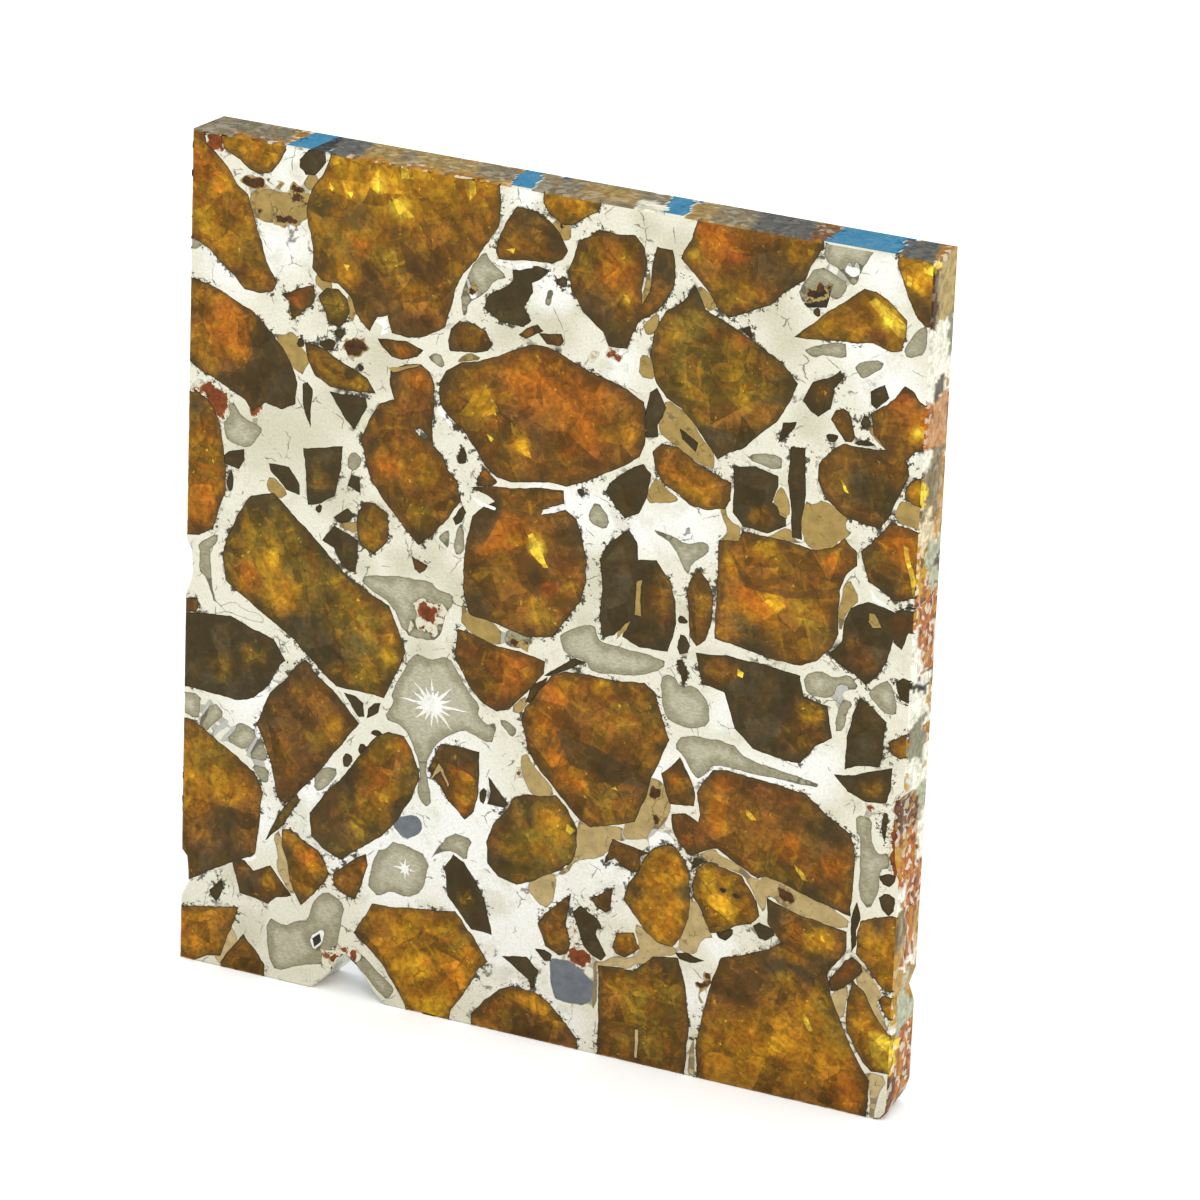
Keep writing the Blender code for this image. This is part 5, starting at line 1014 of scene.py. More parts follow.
@dataclass
class EdgeLine:
    """The sawn edge as a fine line that knows its place on the back face."""

    slab: SawnEdge
    step: float
    front: list[Point] = field(default_factory=list)
    back: list[Point] = field(default_factory=list)
    lookup: KDTree | None = None

    def __post_init__(self) -> None:
        """Lay out the fine line and the lookup that finds its points."""
        count = len(FRONT_EDGE)
        for index in range(count):
            start, end = FRONT_EDGE[index], FRONT_EDGE[(index + 1) % count]
            rear_start, rear_end = BACK_EDGE[index], BACK_EDGE[(index + 1) % count]
            pieces = max(1, math.ceil(math.dist(start, end) / self.step))
            for piece in range(pieces):
                share = piece / pieces
                self.front.append(between(start, end, share))
                self.back.append(between(rear_start, rear_end, share))
        self.lookup = KDTree(len(self.front))
        for index, (u, v) in enumerate(self.front):
            self.lookup.insert((u, v, 0.0), index)
        self.lookup.balance()

    def distance(self, u: float, v: float) -> float:
        """How far a place is from the sawn edge, in millimetres."""
        index = self.lookup.find((u, v, 0.0))[1]
        nearest = math.inf
        for first in (index - 1, index):
            start = self.front[first]
            end = self.front[(first + 1) % len(self.front)]
            share = share_along((u, v), start, end)
            nearest = min(nearest, math.dist((u, v), between(start, end, share)))
        return nearest

    def outwards(self, u: float, v: float) -> Vector:
        """The direction out of the slab at a place on its edge."""
        index = self.lookup.find((u, v, 0.0))[1]
        start = self.front[index - 1]
        end = self.front[(index + 1) % len(self.front)]
        return Vector((end[1] - start[1], start[0] - end[0])).normalized()

    def behind(self, u: float, v: float) -> Point:
        """The place on the back edge that belongs to a place on the front edge."""
        index = self.lookup.find((u, v, 0.0))[1]
        best = (math.inf, self.back[index])
        for first in (index - 1, index):
            second = (first + 1) % len(self.front)
            share = share_along((u, v), self.front[first], self.front[second])
            gap = math.dist((u, v), between(self.front[first], self.front[second], share))
            best = min(best, (gap, between(self.back[first], self.back[second], share)))
        return best[1]


def between(start: Point, end: Point, share: float) -> Point:
    """The point at a share of the way from one point to another."""
    return start[0] + (end[0] - start[0]) * share, start[1] + (end[1] - start[1]) * share


def share_along(point: Point, start: Point, end: Point) -> float:
    """The share of the way along a segment at which a point lies, 0 to 1."""
    run = Vector(end) - Vector(start)
    if run.length_squared == 0.0:
        return 0.0
    return min(max((Vector(point) - Vector(start)).dot(run) / run.length_squared, 0.0), 1.0)


@dataclass
class CrystalShape:
    """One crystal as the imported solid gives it: its outline in front, where the metal's pocket is."""

    node: str
    outline: list[Point]

    @classmethod
    def from_node(cls, name: str, cad_object: bpy.types.Object, edge: EdgeLine) -> CrystalShape:
        """Read a crystal's shape from its node.

        Args:
            name: The node's name.
            cad_object: The node.
            edge: The slab's sawn edge.

        Returns:
            The crystal's shape, with its outline where the metal's pocket is.
        """
        front = face_outline(cad_object, edge.slab)
        outline = []
        for (u, v), moved in zip(front, grown(front, POCKET)):
            if edge.distance(u, v) < ON_EDGE:
                outwards = edge.outwards(u, v)
                outline.append((u + outwards.x, v + outwards.y))
            else:
                outline.append(moved)
        return cls(node=name, outline=outline)


def face_outline(cad_object: bpy.types.Object, slab: SawnEdge) -> list[Point]:
    """The outline of a node's front face, in millimetres, anticlockwise.

    Args:
        cad_object: The node, whose mesh isn't changed.
        slab: The slab that the node lies in.

    Returns:
        The corners of the outline, without those that lie on a straight run.
    """
    mesh = bmesh.new()
    mesh.from_mesh(cad_object.data)
    bmesh.ops.remove_doubles(mesh, verts=mesh.verts, dist=SAME_CORNER)
    front = -slab.thickness / 2 * MM
    flat = {face for face in mesh.faces
            if all(abs(vert.co.y - front) < SAME_CORNER for vert in face.verts)}
    following = {}
    for face in flat:
        for loop in face.loops:
            others = [other for other in loop.edge.link_faces if other is not face]
            if not any(other in flat for other in others):
                following[loop.vert.index] = loop.link_loop_next.vert.index
    mesh.verts.ensure_lookup_table()
    start = min(following, key=lambda index: mesh.verts[index].co.to_tuple())
    ring = [start]
    while following[ring[-1]] != start:
        ring.append(following[ring[-1]])
    outline = [(mesh.verts[index].co.x / MM + slab.width / 2, mesh.verts[index].co.z / MM) for index in ring]
    mesh.free()
    corners = []
    for index, point in enumerate(outline):
        before, after = outline[index - 1], outline[(index + 1) % len(outline)]
        one = (Vector(point) - Vector(before)).normalized()
        two = (Vector(after) - Vector(point)).normalized()
        if one.dot(two) < IN_LINE:
            corners.append(point)
    return anticlockwise(corners)


class Kind(Enum):
    """What a closed outline on the front face bounds. The lowest owner wins where two overlap."""

    CRYSTAL = 0
    SMALL = 1
    SLAB = 2
    FIELD = 3
    FACET = 4
    INLAY = 5


@dataclass(frozen=True)
class Area:
    """One closed outline on the front face and what lies inside it."""

    kind: Kind
    outline: list[Point]
    crystal: CrystalShape | None = None
    family: Family | None = None
    finish: Finish = Finish.KAMACITE
    pigment: Pigment | None = None

    @property
    def is_torn(self) -> bool:
        """Whether the outline is torn, and may cross itself."""
        return self.kind is Kind.FIELD and self.finish in TORN_FINISHES

    @property
    def reach(self) -> tuple[Point, float]:
        """The outline's middle, and how far it reaches from there."""
        centre = middle(self.outline)
        return centre, max(math.dist(centre, point) for point in self.outline)


@dataclass
class Cell:
    """One triangle of the front face: its corners and the areas that it lies in."""

    corners: tuple[int, int, int]
    owner: Area
    detail: Area | None


@dataclass
class FaceMap:
    """The front face as one sheet of triangles that the metal and all crystals share."""

    slab: SawnEdge
    edge: EdgeLine
    grain: Grain
    drift: Drift
    areas: list[Area]
    points: list[Point] = field(default_factory=list)
    cells: list[Cell] = field(default_factory=list)
    field_lines: KDTree | None = None

    def lay_out(self) -> None:
        """Cut the face into triangles that follow every outline."""
        bordered = [point for area in self.areas if area.kind is Kind.FIELD for point in area.outline]
        self.field_lines = KDTree(len(bordered))
        for index, point in enumerate(bordered):
            self.field_lines.insert((*point, 0.0), index)
        self.field_lines.balance()
        places: list[Vector] = []
        rings: list[list[int]] = []
        lines = KDTree(sum(len(area.outline) for area in self.areas))
        for area in self.areas:
            ring = list(range(len(places), len(places) + len(area.outline)))
            rings.append(ring)
            for u, v in area.outline:
                lines.insert((u, v, 0.0), len(places))
                places.append(Vector((u, v)))
        lines.balance()
        places.extend(self.scattered(lines, random.Random(SCATTER_SEED)))
        result = delaunay_2d_cdt(places, [], rings, 0, SAME_POINT, True)
        self.points = [(point.x, point.y) for point in result[0]]
        torn = {index: area.reach for index, area in enumerate(self.areas) if area.is_torn}
        for corners, inside in zip(result[2], result[5]):
            found = [self.areas[index] for index in inside if index not in torn]
            centre = middle([self.points[corner] for corner in corners])
            found += [self.areas[index] for index, (heart, reach) in torn.items()
                      if math.dist(centre, heart) < reach and is_inside(centre, self.areas[index].outline)]
            cell = self.cell_of(tuple(corners), found)
            if cell:
                self.cells.append(cell)

    def scattered(self, lines: KDTree, draw: random.Random) -> Iterable[Vector]:
        """Points spread over the face, clear of every outline."""
        step = self.grain.field_step
        rows = math.ceil(self.slab.height / (step * ROW_HEIGHT))
        columns = math.ceil(self.slab.width / step)
        for row in range(rows):
            for column in range(columns):
                u = (column + 0.5 * (row % 2)) * step + draw.uniform(-1, 1) * self.grain.scatter
                v = row * step * ROW_HEIGHT + draw.uniform(-1, 1) * self.grain.scatter
                if lines.find((u, v, 0.0))[2] > self.grain.clear_of_outlines:
                    yield Vector((u, v))

    @staticmethod
    def cell_of(corners: tuple[int, int, int], inside: list[Area]) -> Cell | None:
        """Decide what a triangle belongs to.

        Args:
            corners: The triangle's points.
            inside: The areas that it lies in.

        Returns:
            The triangle, or None where it lies outside the slab.
        """
        if not any(area.kind is Kind.SLAB for area in inside):
            return None
        owner = min(inside, key=lambda area: area.kind.value)
        inlays = [area for area in inside if area.kind is Kind.INLAY]
        if inlays:
            slab = next(area for area in inside if area.kind is Kind.SLAB)
            return Cell(corners=corners, owner=slab, detail=inlays[-1])
        shown = Kind.FIELD if owner.kind is Kind.SLAB else Kind.FACET
        details = [area for area in inside if area.kind is shown]
        return Cell(corners=corners, owner=owner, detail=details[-1] if details else None)


@dataclass
class Wall:
    """The layers of points that a side wall has between the faces, from front to back, in millimetres."""

    slab: SawnEdge
    inner: int = 9

    def depths(self, sawn: bool) -> list[float]:
        """The depth of each layer of points, on a sawn side or in a pocket."""
        if not sawn:
            return [0.0, self.slab.thickness]
        first = self.slab.chamfer
        last = self.slab.thickness - self.slab.chamfer
        middle_layers = [first + (last - first) * step / self.inner for step in range(self.inner + 1)]
        return [0.0, *middle_layers, self.slab.thickness]


@dataclass
class Shell:
    """A closed mesh in the making: points, faces, and what is painted on them."""

    vertices: list[Vector] = field(default_factory=list)
    faces: list[tuple[int, ...]] = field(default_factory=list)
    tints: list[Colour] = field(default_factory=list)
    finishes: list[int] = field(default_factory=list)
    rims: list[float] = field(default_factory=list)
    borders: list[float] = field(default_factory=list)
    grains: list[Vector] = field(default_factory=list)

    def add_face(self, corners: Sequence[int], colours: Sequence[Colour], finish: int) -> None:
        """Add a face with a colour at each corner."""
        self.faces.append(tuple(corners))
        self.tints.extend(colours)
        self.finishes.append(finish)

    def make(self, name: str, materials: Sequence[bpy.types.Material]) -> bpy.types.Object:
        """Turn the shell into an object.

        Args:
            name: The object's name.
            materials: Its materials, in the order of the faces' finishes.

        Returns:
            The new object, at the origin.
        """
        mesh = bpy.data.meshes.new(name)
        mesh.from_pydata(self.vertices, [], self.faces)
        for material in materials:
            mesh.materials.append(material)
        mesh.polygons.foreach_set("material_index", self.finishes)
        tint = mesh.color_attributes.new("tint", "FLOAT_COLOR", "CORNER")
        tint.data.foreach_set("color", [value for colour in self.tints for value in colour])
        for attribute, values in (("rim", self.rims), ("border", self.borders)):
            mesh.attributes.new(attribute, "FLOAT", "POINT").data.foreach_set("value", values)
        grain = mesh.attributes.new("grain", "FLOAT_VECTOR", "POINT")
        grain.data.foreach_set("vector", [value for place in self.grains for value in place])
        mesh.update()
        made = bpy.data.objects.new(name, mesh)
        bpy.context.scene.collection.objects.link(made)
        return made


Painter = Callable[[Cell, Point], Colour]
WallPainter = Callable[[Point, float, bool], tuple[Colour, int]]


@dataclass
class Body:
    """Some of the face's triangles, made into a closed solid through the slab."""

    face_map: FaceMap
    wall: Wall
    cells: list[Cell]
    inset: float
    turn: float = 0.0
    shift: float = 0.0

    def shell(self, paint: Painter, paint_wall: WallPainter, finish_of: Callable[[Cell], int]) -> Shell:
        """Build the solid.

        Args:
            paint: Gives the colour of a triangle at a place.
            paint_wall: Gives the colour and finish of a side wall at a place and depth, sawn or grown.
            finish_of: Gives a triangle's finish.

        Returns:
            The closed shell.
        """
        corners, places = self.split_fans()
        border = self.border_of(corners)
        inwards = self.inwards_of(places, border)
        sawn = {index: self.face_map.edge.distance(*places[index]) < SAWN_GAP for index in inwards}
        rims = self.rims_of(places, [index for index in inwards if not sawn[index]])
        result = Shell()
        fronts, backs = {}, {}
        columns: dict[int, list[int]] = {}
        for index, place in enumerate(places):
            if index in inwards:
                columns[index] = self.add_column(result, place, inwards[index], sawn[index], rims[index])
                fronts[index], backs[index] = columns[index][0], columns[index][-1]
            else:
                fronts[index] = self.add_point(result, place, 0.0, rims[index])
                backs[index] = self.add_point(result, place, self.face_map.slab.thickness, rims[index])
        for cell, triangle in zip(self.cells, corners):
            colours = [paint(cell, places[index]) for index in triangle]
            result.add_face([fronts[index] for index in triangle], colours, finish_of(cell))
            result.add_face([backs[index] for index in reversed(triangle)], colours[::-1], finish_of(cell))
        for start, end in border:
            ends = (places[start], places[end])
            if sawn[start] and sawn[end]:
                self.add_sawn_wall(result, columns[start], columns[end], ends, paint_wall)
            else:
                self.add_pocket_wall(result, columns[start], columns[end], ends, paint_wall)
        return result

    def split_fans(self) -> tuple[list[tuple[int, ...]], list[Point]]:
        """Give each fan of triangles round a point its own copy of it, so that no two bodies hang by one."""
        around: dict[int, list[int]] = {}
        for number, cell in enumerate(self.cells):
            for point in cell.corners:
                around.setdefault(point, []).append(number)
        renamed: dict[tuple[int, int], int] = {}
        places: list[Point] = []
        for point, members in around.items():
            left = set(members)
            while left:
                fan = {left.pop()}
                grew = True
                while grew:
                    reach = {corner for number in fan for corner in self.cells[number].corners} - {point}
                    near = {number for number in left if reach & set(self.cells[number].corners)}
                    grew = bool(near)
                    fan |= near
                    left -= near
                for number in fan:
                    renamed[(number, point)] = len(places)
                places.append(self.face_map.points[point])
        corners = [tuple(renamed[(number, point)] for point in cell.corners)
                   for number, cell in enumerate(self.cells)]
        return corners, places

    @staticmethod
    def border_of(corners: list[tuple[int, ...]]) -> list[tuple[int, int]]:
        """The directed edges that have a triangle on one side only, with the solid on their left."""
        edges = set()
        for a, b, c in corners:
            edges |= {(a, b), (b, c), (c, a)}
        return sorted(edge for edge in edges if (edge[1], edge[0]) not in edges)

    @staticmethod
    def rims_of(places: list[Point], grown_border: list[int]) -> list[float]:
        """How far each point is from where the solid has grown to its neighbours, in millimetres."""
        lines = KDTree(len(grown_border))
        for index in grown_border:
            lines.insert((*places[index], 0.0), index)
        lines.balance()
        return [lines.find((u, v, 0.0))[2] for u, v in places]

    @staticmethod
    def inwards_of(places: list[Point], border: list[tuple[int, int]]) -> dict[int, Vector]:
        """The direction into the solid at each point of its outline."""
        inwards: dict[int, Vector] = {}
        for start, end in border:
            run = Vector(places[end]) - Vector(places[start])
            left = Vector((-run.y, run.x)).normalized()
            for index in (start, end):
                inwards[index] = inwards.get(index, Vector((0.0, 0.0))) + left
        return {index: direction.normalized() for index, direction in inwards.items()}

    def behind(self, place: Point, sawn: bool) -> Point:
        """The place on the back face that belongs to one on the front face."""
        edge = self.face_map.edge
        if sawn:
            return edge.behind(*place)
        u, v = self.face_map.drift.at(*place, self.face_map.slab)
        near = edge.distance(*place)
        if near < EDGE_REACH:
            foot = edge.front[edge.lookup.find((*place, 0.0))[1]]
            rear = edge.behind(*place)
            u += (rear[0] - foot[0]) * (1 - near / EDGE_REACH)
            v += (rear[1] - foot[1]) * (1 - near / EDGE_REACH)
        slab = self.face_map.slab
        margin = slab.chamfer + EDGE_MARGIN
        return min(max(u, margin), slab.width - margin), min(max(v, margin), slab.height - margin)

    def add_point(self, result: Shell, place: Point, depth: float, rim: float) -> int:
        """Add one point of the front or back face, and say which it is."""
        where = place if depth == 0.0 else self.behind(place, False)
        return self.append(result, where, place, depth, rim)

    def append(self, result: Shell, where: Point, pattern: Point, depth: float, rim: float) -> int:
        """Add a point at a place, with the place that its pattern is read at."""
        result.vertices.append(self.face_map.slab.place(*where, depth))
        result.rims.append(rim)
        result.borders.append(self.face_map.field_lines.find((*pattern, 0.0))[2])
        turned_u = pattern[0] * math.cos(self.turn) - pattern[1] * math.sin(self.turn)
        turned_v = pattern[0] * math.sin(self.turn) + pattern[1] * math.cos(self.turn)
        result.grains.append(Vector((turned_u + self.shift, turned_v, depth + self.shift)))
        return len(result.vertices) - 1

    def add_column(self, result: Shell, place: Point, inwards: Vector, sawn: bool, rim: float) -> list[int]:
        """Add the points of the side wall at one place of the outline, from front to back."""
        slab = self.face_map.slab
        rear = self.behind(place, sawn)
        column = []
        for depth in self.wall.depths(sawn):
            inset = self.inset
            if sawn:
                inset = slab.chamfer if depth in (0.0, slab.thickness) else 0.0
            u, v = between(place, rear, depth / slab.thickness)
            where = (u + inwards.x * inset, v + inwards.y * inset)
            where = (min(max(where[0], 0.0), slab.width), min(max(where[1], 0.0), slab.height))
            column.append(self.append(result, where, place, depth, rim))
        return column

    def add_sawn_wall(
        self, result: Shell, near: list[int], far: list[int], ends: tuple[Point, Point], paint: WallPainter
    ) -> None:
        """Add the sawn side along one edge of the outline, layer by layer."""
        depths = self.wall.depths(sawn=True)
        start, end = ends
        for layer in range(len(depths) - 1):
            corners = (far[layer], near[layer], near[layer + 1], far[layer + 1])
            spots = ((end, layer), (start, layer), (start, layer + 1), (end, layer + 1))
            colours = [paint(spot, depths[level], True)[0] for spot, level in spots]
            depth = (depths[layer] + depths[layer + 1]) / 2
            finish = paint(between(start, end, 0.5), depth, True)[1]
            result.add_face(corners, colours, finish)

    @staticmethod
    def add_pocket_wall(
        result: Shell, near: list[int], far: list[int], ends: tuple[Point, Point], paint: WallPainter
    ) -> None:
        """Add the wall of a pocket or the side of a crystal along one edge of the outline, in one face."""
        corners = (far[0], *near, *reversed(far[1:]))
        colour, finish = paint(ends[0], 0.0, False)
        result.add_face(corners, [colour] * len(corners), finish)


class NodeTree:
    """A tree of shader nodes, with short calls for what the materials and the world share."""

    def __init__(self, tree: bpy.types.NodeTree) -> None:
        """Take over a tree."""
        self.tree = tree

    def feed(self, socket: bpy.types.NodeSocket, value: object) -> None:
        """Set a socket to a number, a colour or a pigment, or link it to another socket."""
        if isinstance(value, Pigment):
            value = value.linear[:3]
        if isinstance(value, bpy.types.NodeSocket):
            self.tree.links.new(value, socket)
        elif isinstance(value, tuple) and socket.type == "RGBA":
            socket.default_value = (*value, 1.0)
        else:
            socket.default_value = value

    def node(
        self, kind: str, inputs: dict[int | str, object] | None = None, **settings: str
    ) -> bpy.types.Node:
        """Add a node.

        Args:
            kind: What follows ShaderNode in the name of its type.
            inputs: What its inputs are set or linked to, by their number or name.
            settings: Its own settings.

        Returns:
            The node.
        """
        made = self.tree.nodes.new(f"ShaderNode{kind}")
        for name, value in settings.items():
            setattr(made, name, value)
        for name, value in (inputs or {}).items():
            self.feed(made.inputs[name], value)
        return made

    def attribute(self, name: str, output: str) -> bpy.types.NodeSocket:
        """What is painted on the piece under a name."""
        return self.node("Attribute", attribute_name=name).outputs[output]

    def math(self, operation: str, first: object, second: object) -> bpy.types.NodeSocket:
        """The result of a sum on two numbers."""
        return self.node("Math", {0: first, 1: second}, operation=operation).outputs[0]

    def times(self, *factors: object) -> bpy.types.NodeSocket:
        """The product of several numbers."""
        product = factors[0]
        for factor in factors[1:]:
            product = self.math("MULTIPLY", product, factor)
        return product

    def mapped(self, vector: object, scale: Colour) -> bpy.types.NodeSocket:
        """A pattern's coordinates, stretched."""
        return self.node("Mapping", {"Vector": vector, "Scale": scale}).outputs["Vector"]

    def noise(
        self, vector: object, scale: float, detail: float = 2.0, roughness: float = 0.5, output: str = "Fac"
    ) -> bpy.types.NodeSocket:
        """Soft noise, with its scale in features to the millimetre."""
        inputs = {"Vector": vector, "Scale": scale, "Detail": detail, "Roughness": roughness}
        return self.node("TexNoise", inputs).outputs[output]

    def bent(self, vector: object, scale: float, amount: float) -> bpy.types.NodeSocket:
        """A pattern's coordinates, bent by noise.

        Args:
            vector: The coordinates, in millimetres.
            scale: The noise's scale.
            amount: How far the noise moves them, in millimetres.

        Returns:
            The bent coordinates.
        """
        wander = self.noise(vector, scale, 3.0, 0.55, "Color")
        centred = self.node("VectorMath", {0: wander, 1: (0.5, 0.5, 0.5)}, operation="SUBTRACT").outputs[0]
        inputs = {0: centred, 1: (2 * amount, 2 * amount, 2 * amount), 2: vector}
        return self.node("VectorMath", inputs, operation="MULTIPLY_ADD").outputs[0]

    def cells(
        self, vector: object, scale: float, feature: str = "F1", output: str = "Distance"
    ) -> bpy.types.NodeSocket:
        """A pattern of cells, with its scale in cells to the millimetre."""
        return self.node("TexVoronoi", {"Vector": vector, "Scale": scale}, feature=feature).outputs[output]

    def channel(self, colour: object, index: int) -> bpy.types.NodeSocket:
        """One channel of a colour: 0 red, 1 green, 2 blue."""
        return self.node("SeparateColor", {0: colour}).outputs[index]

    def level(
        self, value: object, low: float, high: float, start: float = 0.0, end: float = 1.0,
        smooth: bool = True,
    ) -> bpy.types.NodeSocket:
        """A number's place between two limits, as a number from start to end."""
        inputs = {"Value": value, "From Min": low, "From Max": high, "To Min": start, "To Max": end}
        shape = "SMOOTHSTEP" if smooth else "LINEAR"
        return self.node("MapRange", inputs, interpolation_type=shape).outputs["Result"]

    def dimmed(self, colour: object, factor: object) -> bpy.types.NodeSocket:
        """A colour times a number."""
        return self.node("VectorMath", {0: colour, "Scale": factor}, operation="SCALE").outputs[0]

    def mix(self, factor: object, first: object, second: object) -> bpy.types.NodeSocket:
        """One colour over another."""
        return self.node("Mix", {0: factor, 6: first, 7: second}, data_type="RGBA").outputs[2]

    def mottled(
        self, colour: object, pattern: object, dark: float, light: float, low: float = 0.3, high: float = 0.7
    ) -> bpy.types.NodeSocket:
        """A colour made darker and lighter by a pattern.

        Args:
            colour: The colour.
            pattern: The pattern.
            dark: What the colour is multiplied by where the pattern is low.
            light: What it is multiplied by where the pattern is high.
            low: Where the pattern starts to lighten.
            high: Where it is as light as it gets.

        Returns:
            The mottled colour.
        """
        return self.dimmed(colour, self.level(pattern, low, high, dark, light))

    def edged(
        self, colour: object, distance: object, width: float, strength: float, pigment: Pigment
    ) -> bpy.types.NodeSocket:
        """A colour that turns into a pigment within a width, in millimetres, of a border."""
        return self.mix(self.level(distance, 0.0, width, strength, 0.0), colour, pigment)

    def cracked(
        self, colour: object, cracks: object, scale: float, thickness: tuple[float, float], shown: object,
        pigment: Pigment,
    ) -> bpy.types.NodeSocket:
        """A colour with a net of cracks over it.

        Args:
            colour: The colour.
            cracks: The coordinates of the net.
            scale: Its scale, in meshes to the millimetre.
            thickness: Where a crack starts to fade out and where it ends, as shares of a mesh.
            shown: How strongly it shows at each place.
            pigment: The colour in the cracks.

        Returns:
            The cracked colour.
        """
        crack = self.level(self.cells(cracks, scale, "DISTANCE_TO_EDGE"), *thickness, 1.0, 0.0)
        return self.mix(self.times(crack, shown), colour, pigment)


class ShaderTree(NodeTree):
    """A material in the making, with its Principled shader."""

    def __init__(self, name: str) -> None:
        """Start a material."""
        self.material = bpy.data.materials.new(name)
        self.material.use_nodes = True
        super().__init__(self.material.node_tree)
        self.tree.nodes.clear()
        self.output = self.node("OutputMaterial")
        self.shader = self.node("BsdfPrincipled")
        self.feed(self.output.inputs["Surface"], self.shader.outputs["BSDF"])

    def bump(self, height: object, distance: float) -> None:
        """Raise the surface a little by a pattern."""
        node = self.node("Bump", {"Distance": distance, "Height": height})
        self.feed(self.shader.inputs["Normal"], node.outputs["Normal"])

    def finish(self, **values: object) -> bpy.types.Material:
        """Set the shader's sockets, named with underscores, and give the material."""
        for name, value in values.items():
            self.feed(self.shader.inputs[name.replace("_", " ")], value)
        return self.material


@dataclass(frozen=True)
class ClearOlivine:
    """See-through olivine under a polished face: cleaved facets, painted shadows, painted highlights of
    golden streaks and flecks, and painted shade along the border.
    """

    family: Family
    index_of_refraction: float = 1.67
    see_through: float = 0.42
    density: float = 260.0
    lift: float = 1.3

    def material(self) -> bpy.types.Material:
        """Build the material of one colour family."""
        tree = ShaderTree(self.family.slot)
        grain = tree.attribute("grain", "Vector")
        painted_glint = tree.attribute("tint", "Alpha")
        rim = tree.attribute("rim", "Fac")
        bent = tree.bent(grain, 0.7, 0.18)
        colour = self.faceted(tree, tree.attribute("tint", "Color"), painted_glint, bent)
        # Painted highlights: golden glints where fractures inside the stone catch the light.
        colour = self.with_painted_glints(tree, colour, painted_glint, bent)
        colour = tree.dimmed(self.clouded(tree, colour, grain, bent), self.lift)
        # Painted shade along the border: a ragged dark margin about 0.7 mm wide, then a thin near-black
        # painted contact shadow where the crystal meets the metal.
        ragged = tree.math("ADD", rim, tree.level(tree.noise(grain, 1.1, 4.0, 0.6), 0.3, 0.7, -0.40, 0.30))
        colour = tree.edged(colour, ragged, 0.70, 0.60, Pigment.SHADE)
        colour = tree.edged(colour, rim, 0.10, 0.75, Pigment.NEAR_BLACK)
        self.fill_with_colour(tree)
        return tree.finish(
            Base_Color=colour,
            Roughness=0.03,
            IOR=self.index_of_refraction,
            Specular_IOR_Level=0.08,
            Specular_Tint=(1.0, 0.70, 0.28),
            Transmission_Weight=self.see_through,
        )

    @staticmethod
    def faceted(tree: ShaderTree, tint: object, painted_glint: object, bent: object) -> bpy.types.NodeSocket:
        """The painted colour, broken into lighter and darker cleavage faces."""
        broad = tree.cells(tree.mapped(bent, (1.0, 0.55, 0.5)), 0.55, output="Color")
        close = tree.cells(tree.mapped(bent, (0.7, 1.4, 0.6)), 1.25, output="Color")
        light = tree.level(tree.channel(broad, 0), 0.0, 1.0, 0.50, 1.55, smooth=False)
        small_light = tree.level(tree.channel(close, 1), 0.0, 1.0, 0.66, 1.36, smooth=False)
        colour = tree.dimmed(tint, tree.times(light, small_light))
        warm = tree.times(tree.level(tree.channel(close, 2), 0.64, 0.74, 0.0, 0.5), painted_glint)
        return tree.mix(warm, colour, tree.dimmed(Pigment.ORANGE, 0.9))

    @staticmethod
    def with_painted_glints(tree: ShaderTree, colour: object, painted_glint: object, bent: object) -> bpy.types.NodeSocket:
        """The colour with painted highlights: golden faces, streaks and shining flecks where fractures inside
        the stone catch the light.
        """
        wide = tree.cells(tree.mapped(bent, (0.8, 1.2, 0.6)), 0.8, output="Color")
        lit = tree.level(tree.channel(wide, 0), 0.78, 0.88, 0.0, 0.42)
        drawn = tree.noise(tree.mapped(bent, (1.0, 0.28, 0.6)), 1.6, 3.0, 0.6)
        streaks = tree.level(drawn, 0.56, 0.70, 0.0, 0.6)
        colour = tree.mix(tree.times(tree.math("ADD", lit, streaks), painted_glint), colour, Pigment.GOLD)
        painted_fleck = tree.level(tree.noise(tree.mapped(bent, (1.0, 0.7, 0.6)), 2.2, 3.0, 0.7), 0.665, 0.70)
        return tree.mix(tree.times(painted_fleck, painted_glint, 0.9), colour, Pigment.YELLOW)

    @staticmethod
    def clouded(tree: ShaderTree, colour: object, grain: object, bent: object) -> bpy.types.NodeSocket:
        """The colour with soft shadows, a fine mottling and a few broken cracks."""
        shadow = tree.level(tree.noise(grain, 0.45, 4.0, 0.55), 0.38, 0.56, 0.62, 0.0)
        colour = tree.mix(shadow, colour, tree.dimmed(colour, 0.30))
        colour = tree.mottled(colour, tree.noise(bent, 2.6, 4.0, 0.65), 0.68, 1.32, 0.32, 0.68)
        broken = tree.times(tree.level(tree.noise(grain, 0.9, 2.0), 0.54, 0.64), 0.55)
        return tree.cracked(colour, bent, 0.45, (0.006, 0.03), broken, Pigment.NEAR_BLACK)

    def fill_with_colour(self, tree: ShaderTree) -> None:
        """Let the stone take up colour with depth."""
        volume = tree.node("VolumeAbsorption", {"Color": self.family.depth_colour, "Density": self.density})
        tree.feed(tree.output.inputs["Volume"], volume.outputs["Volume"])


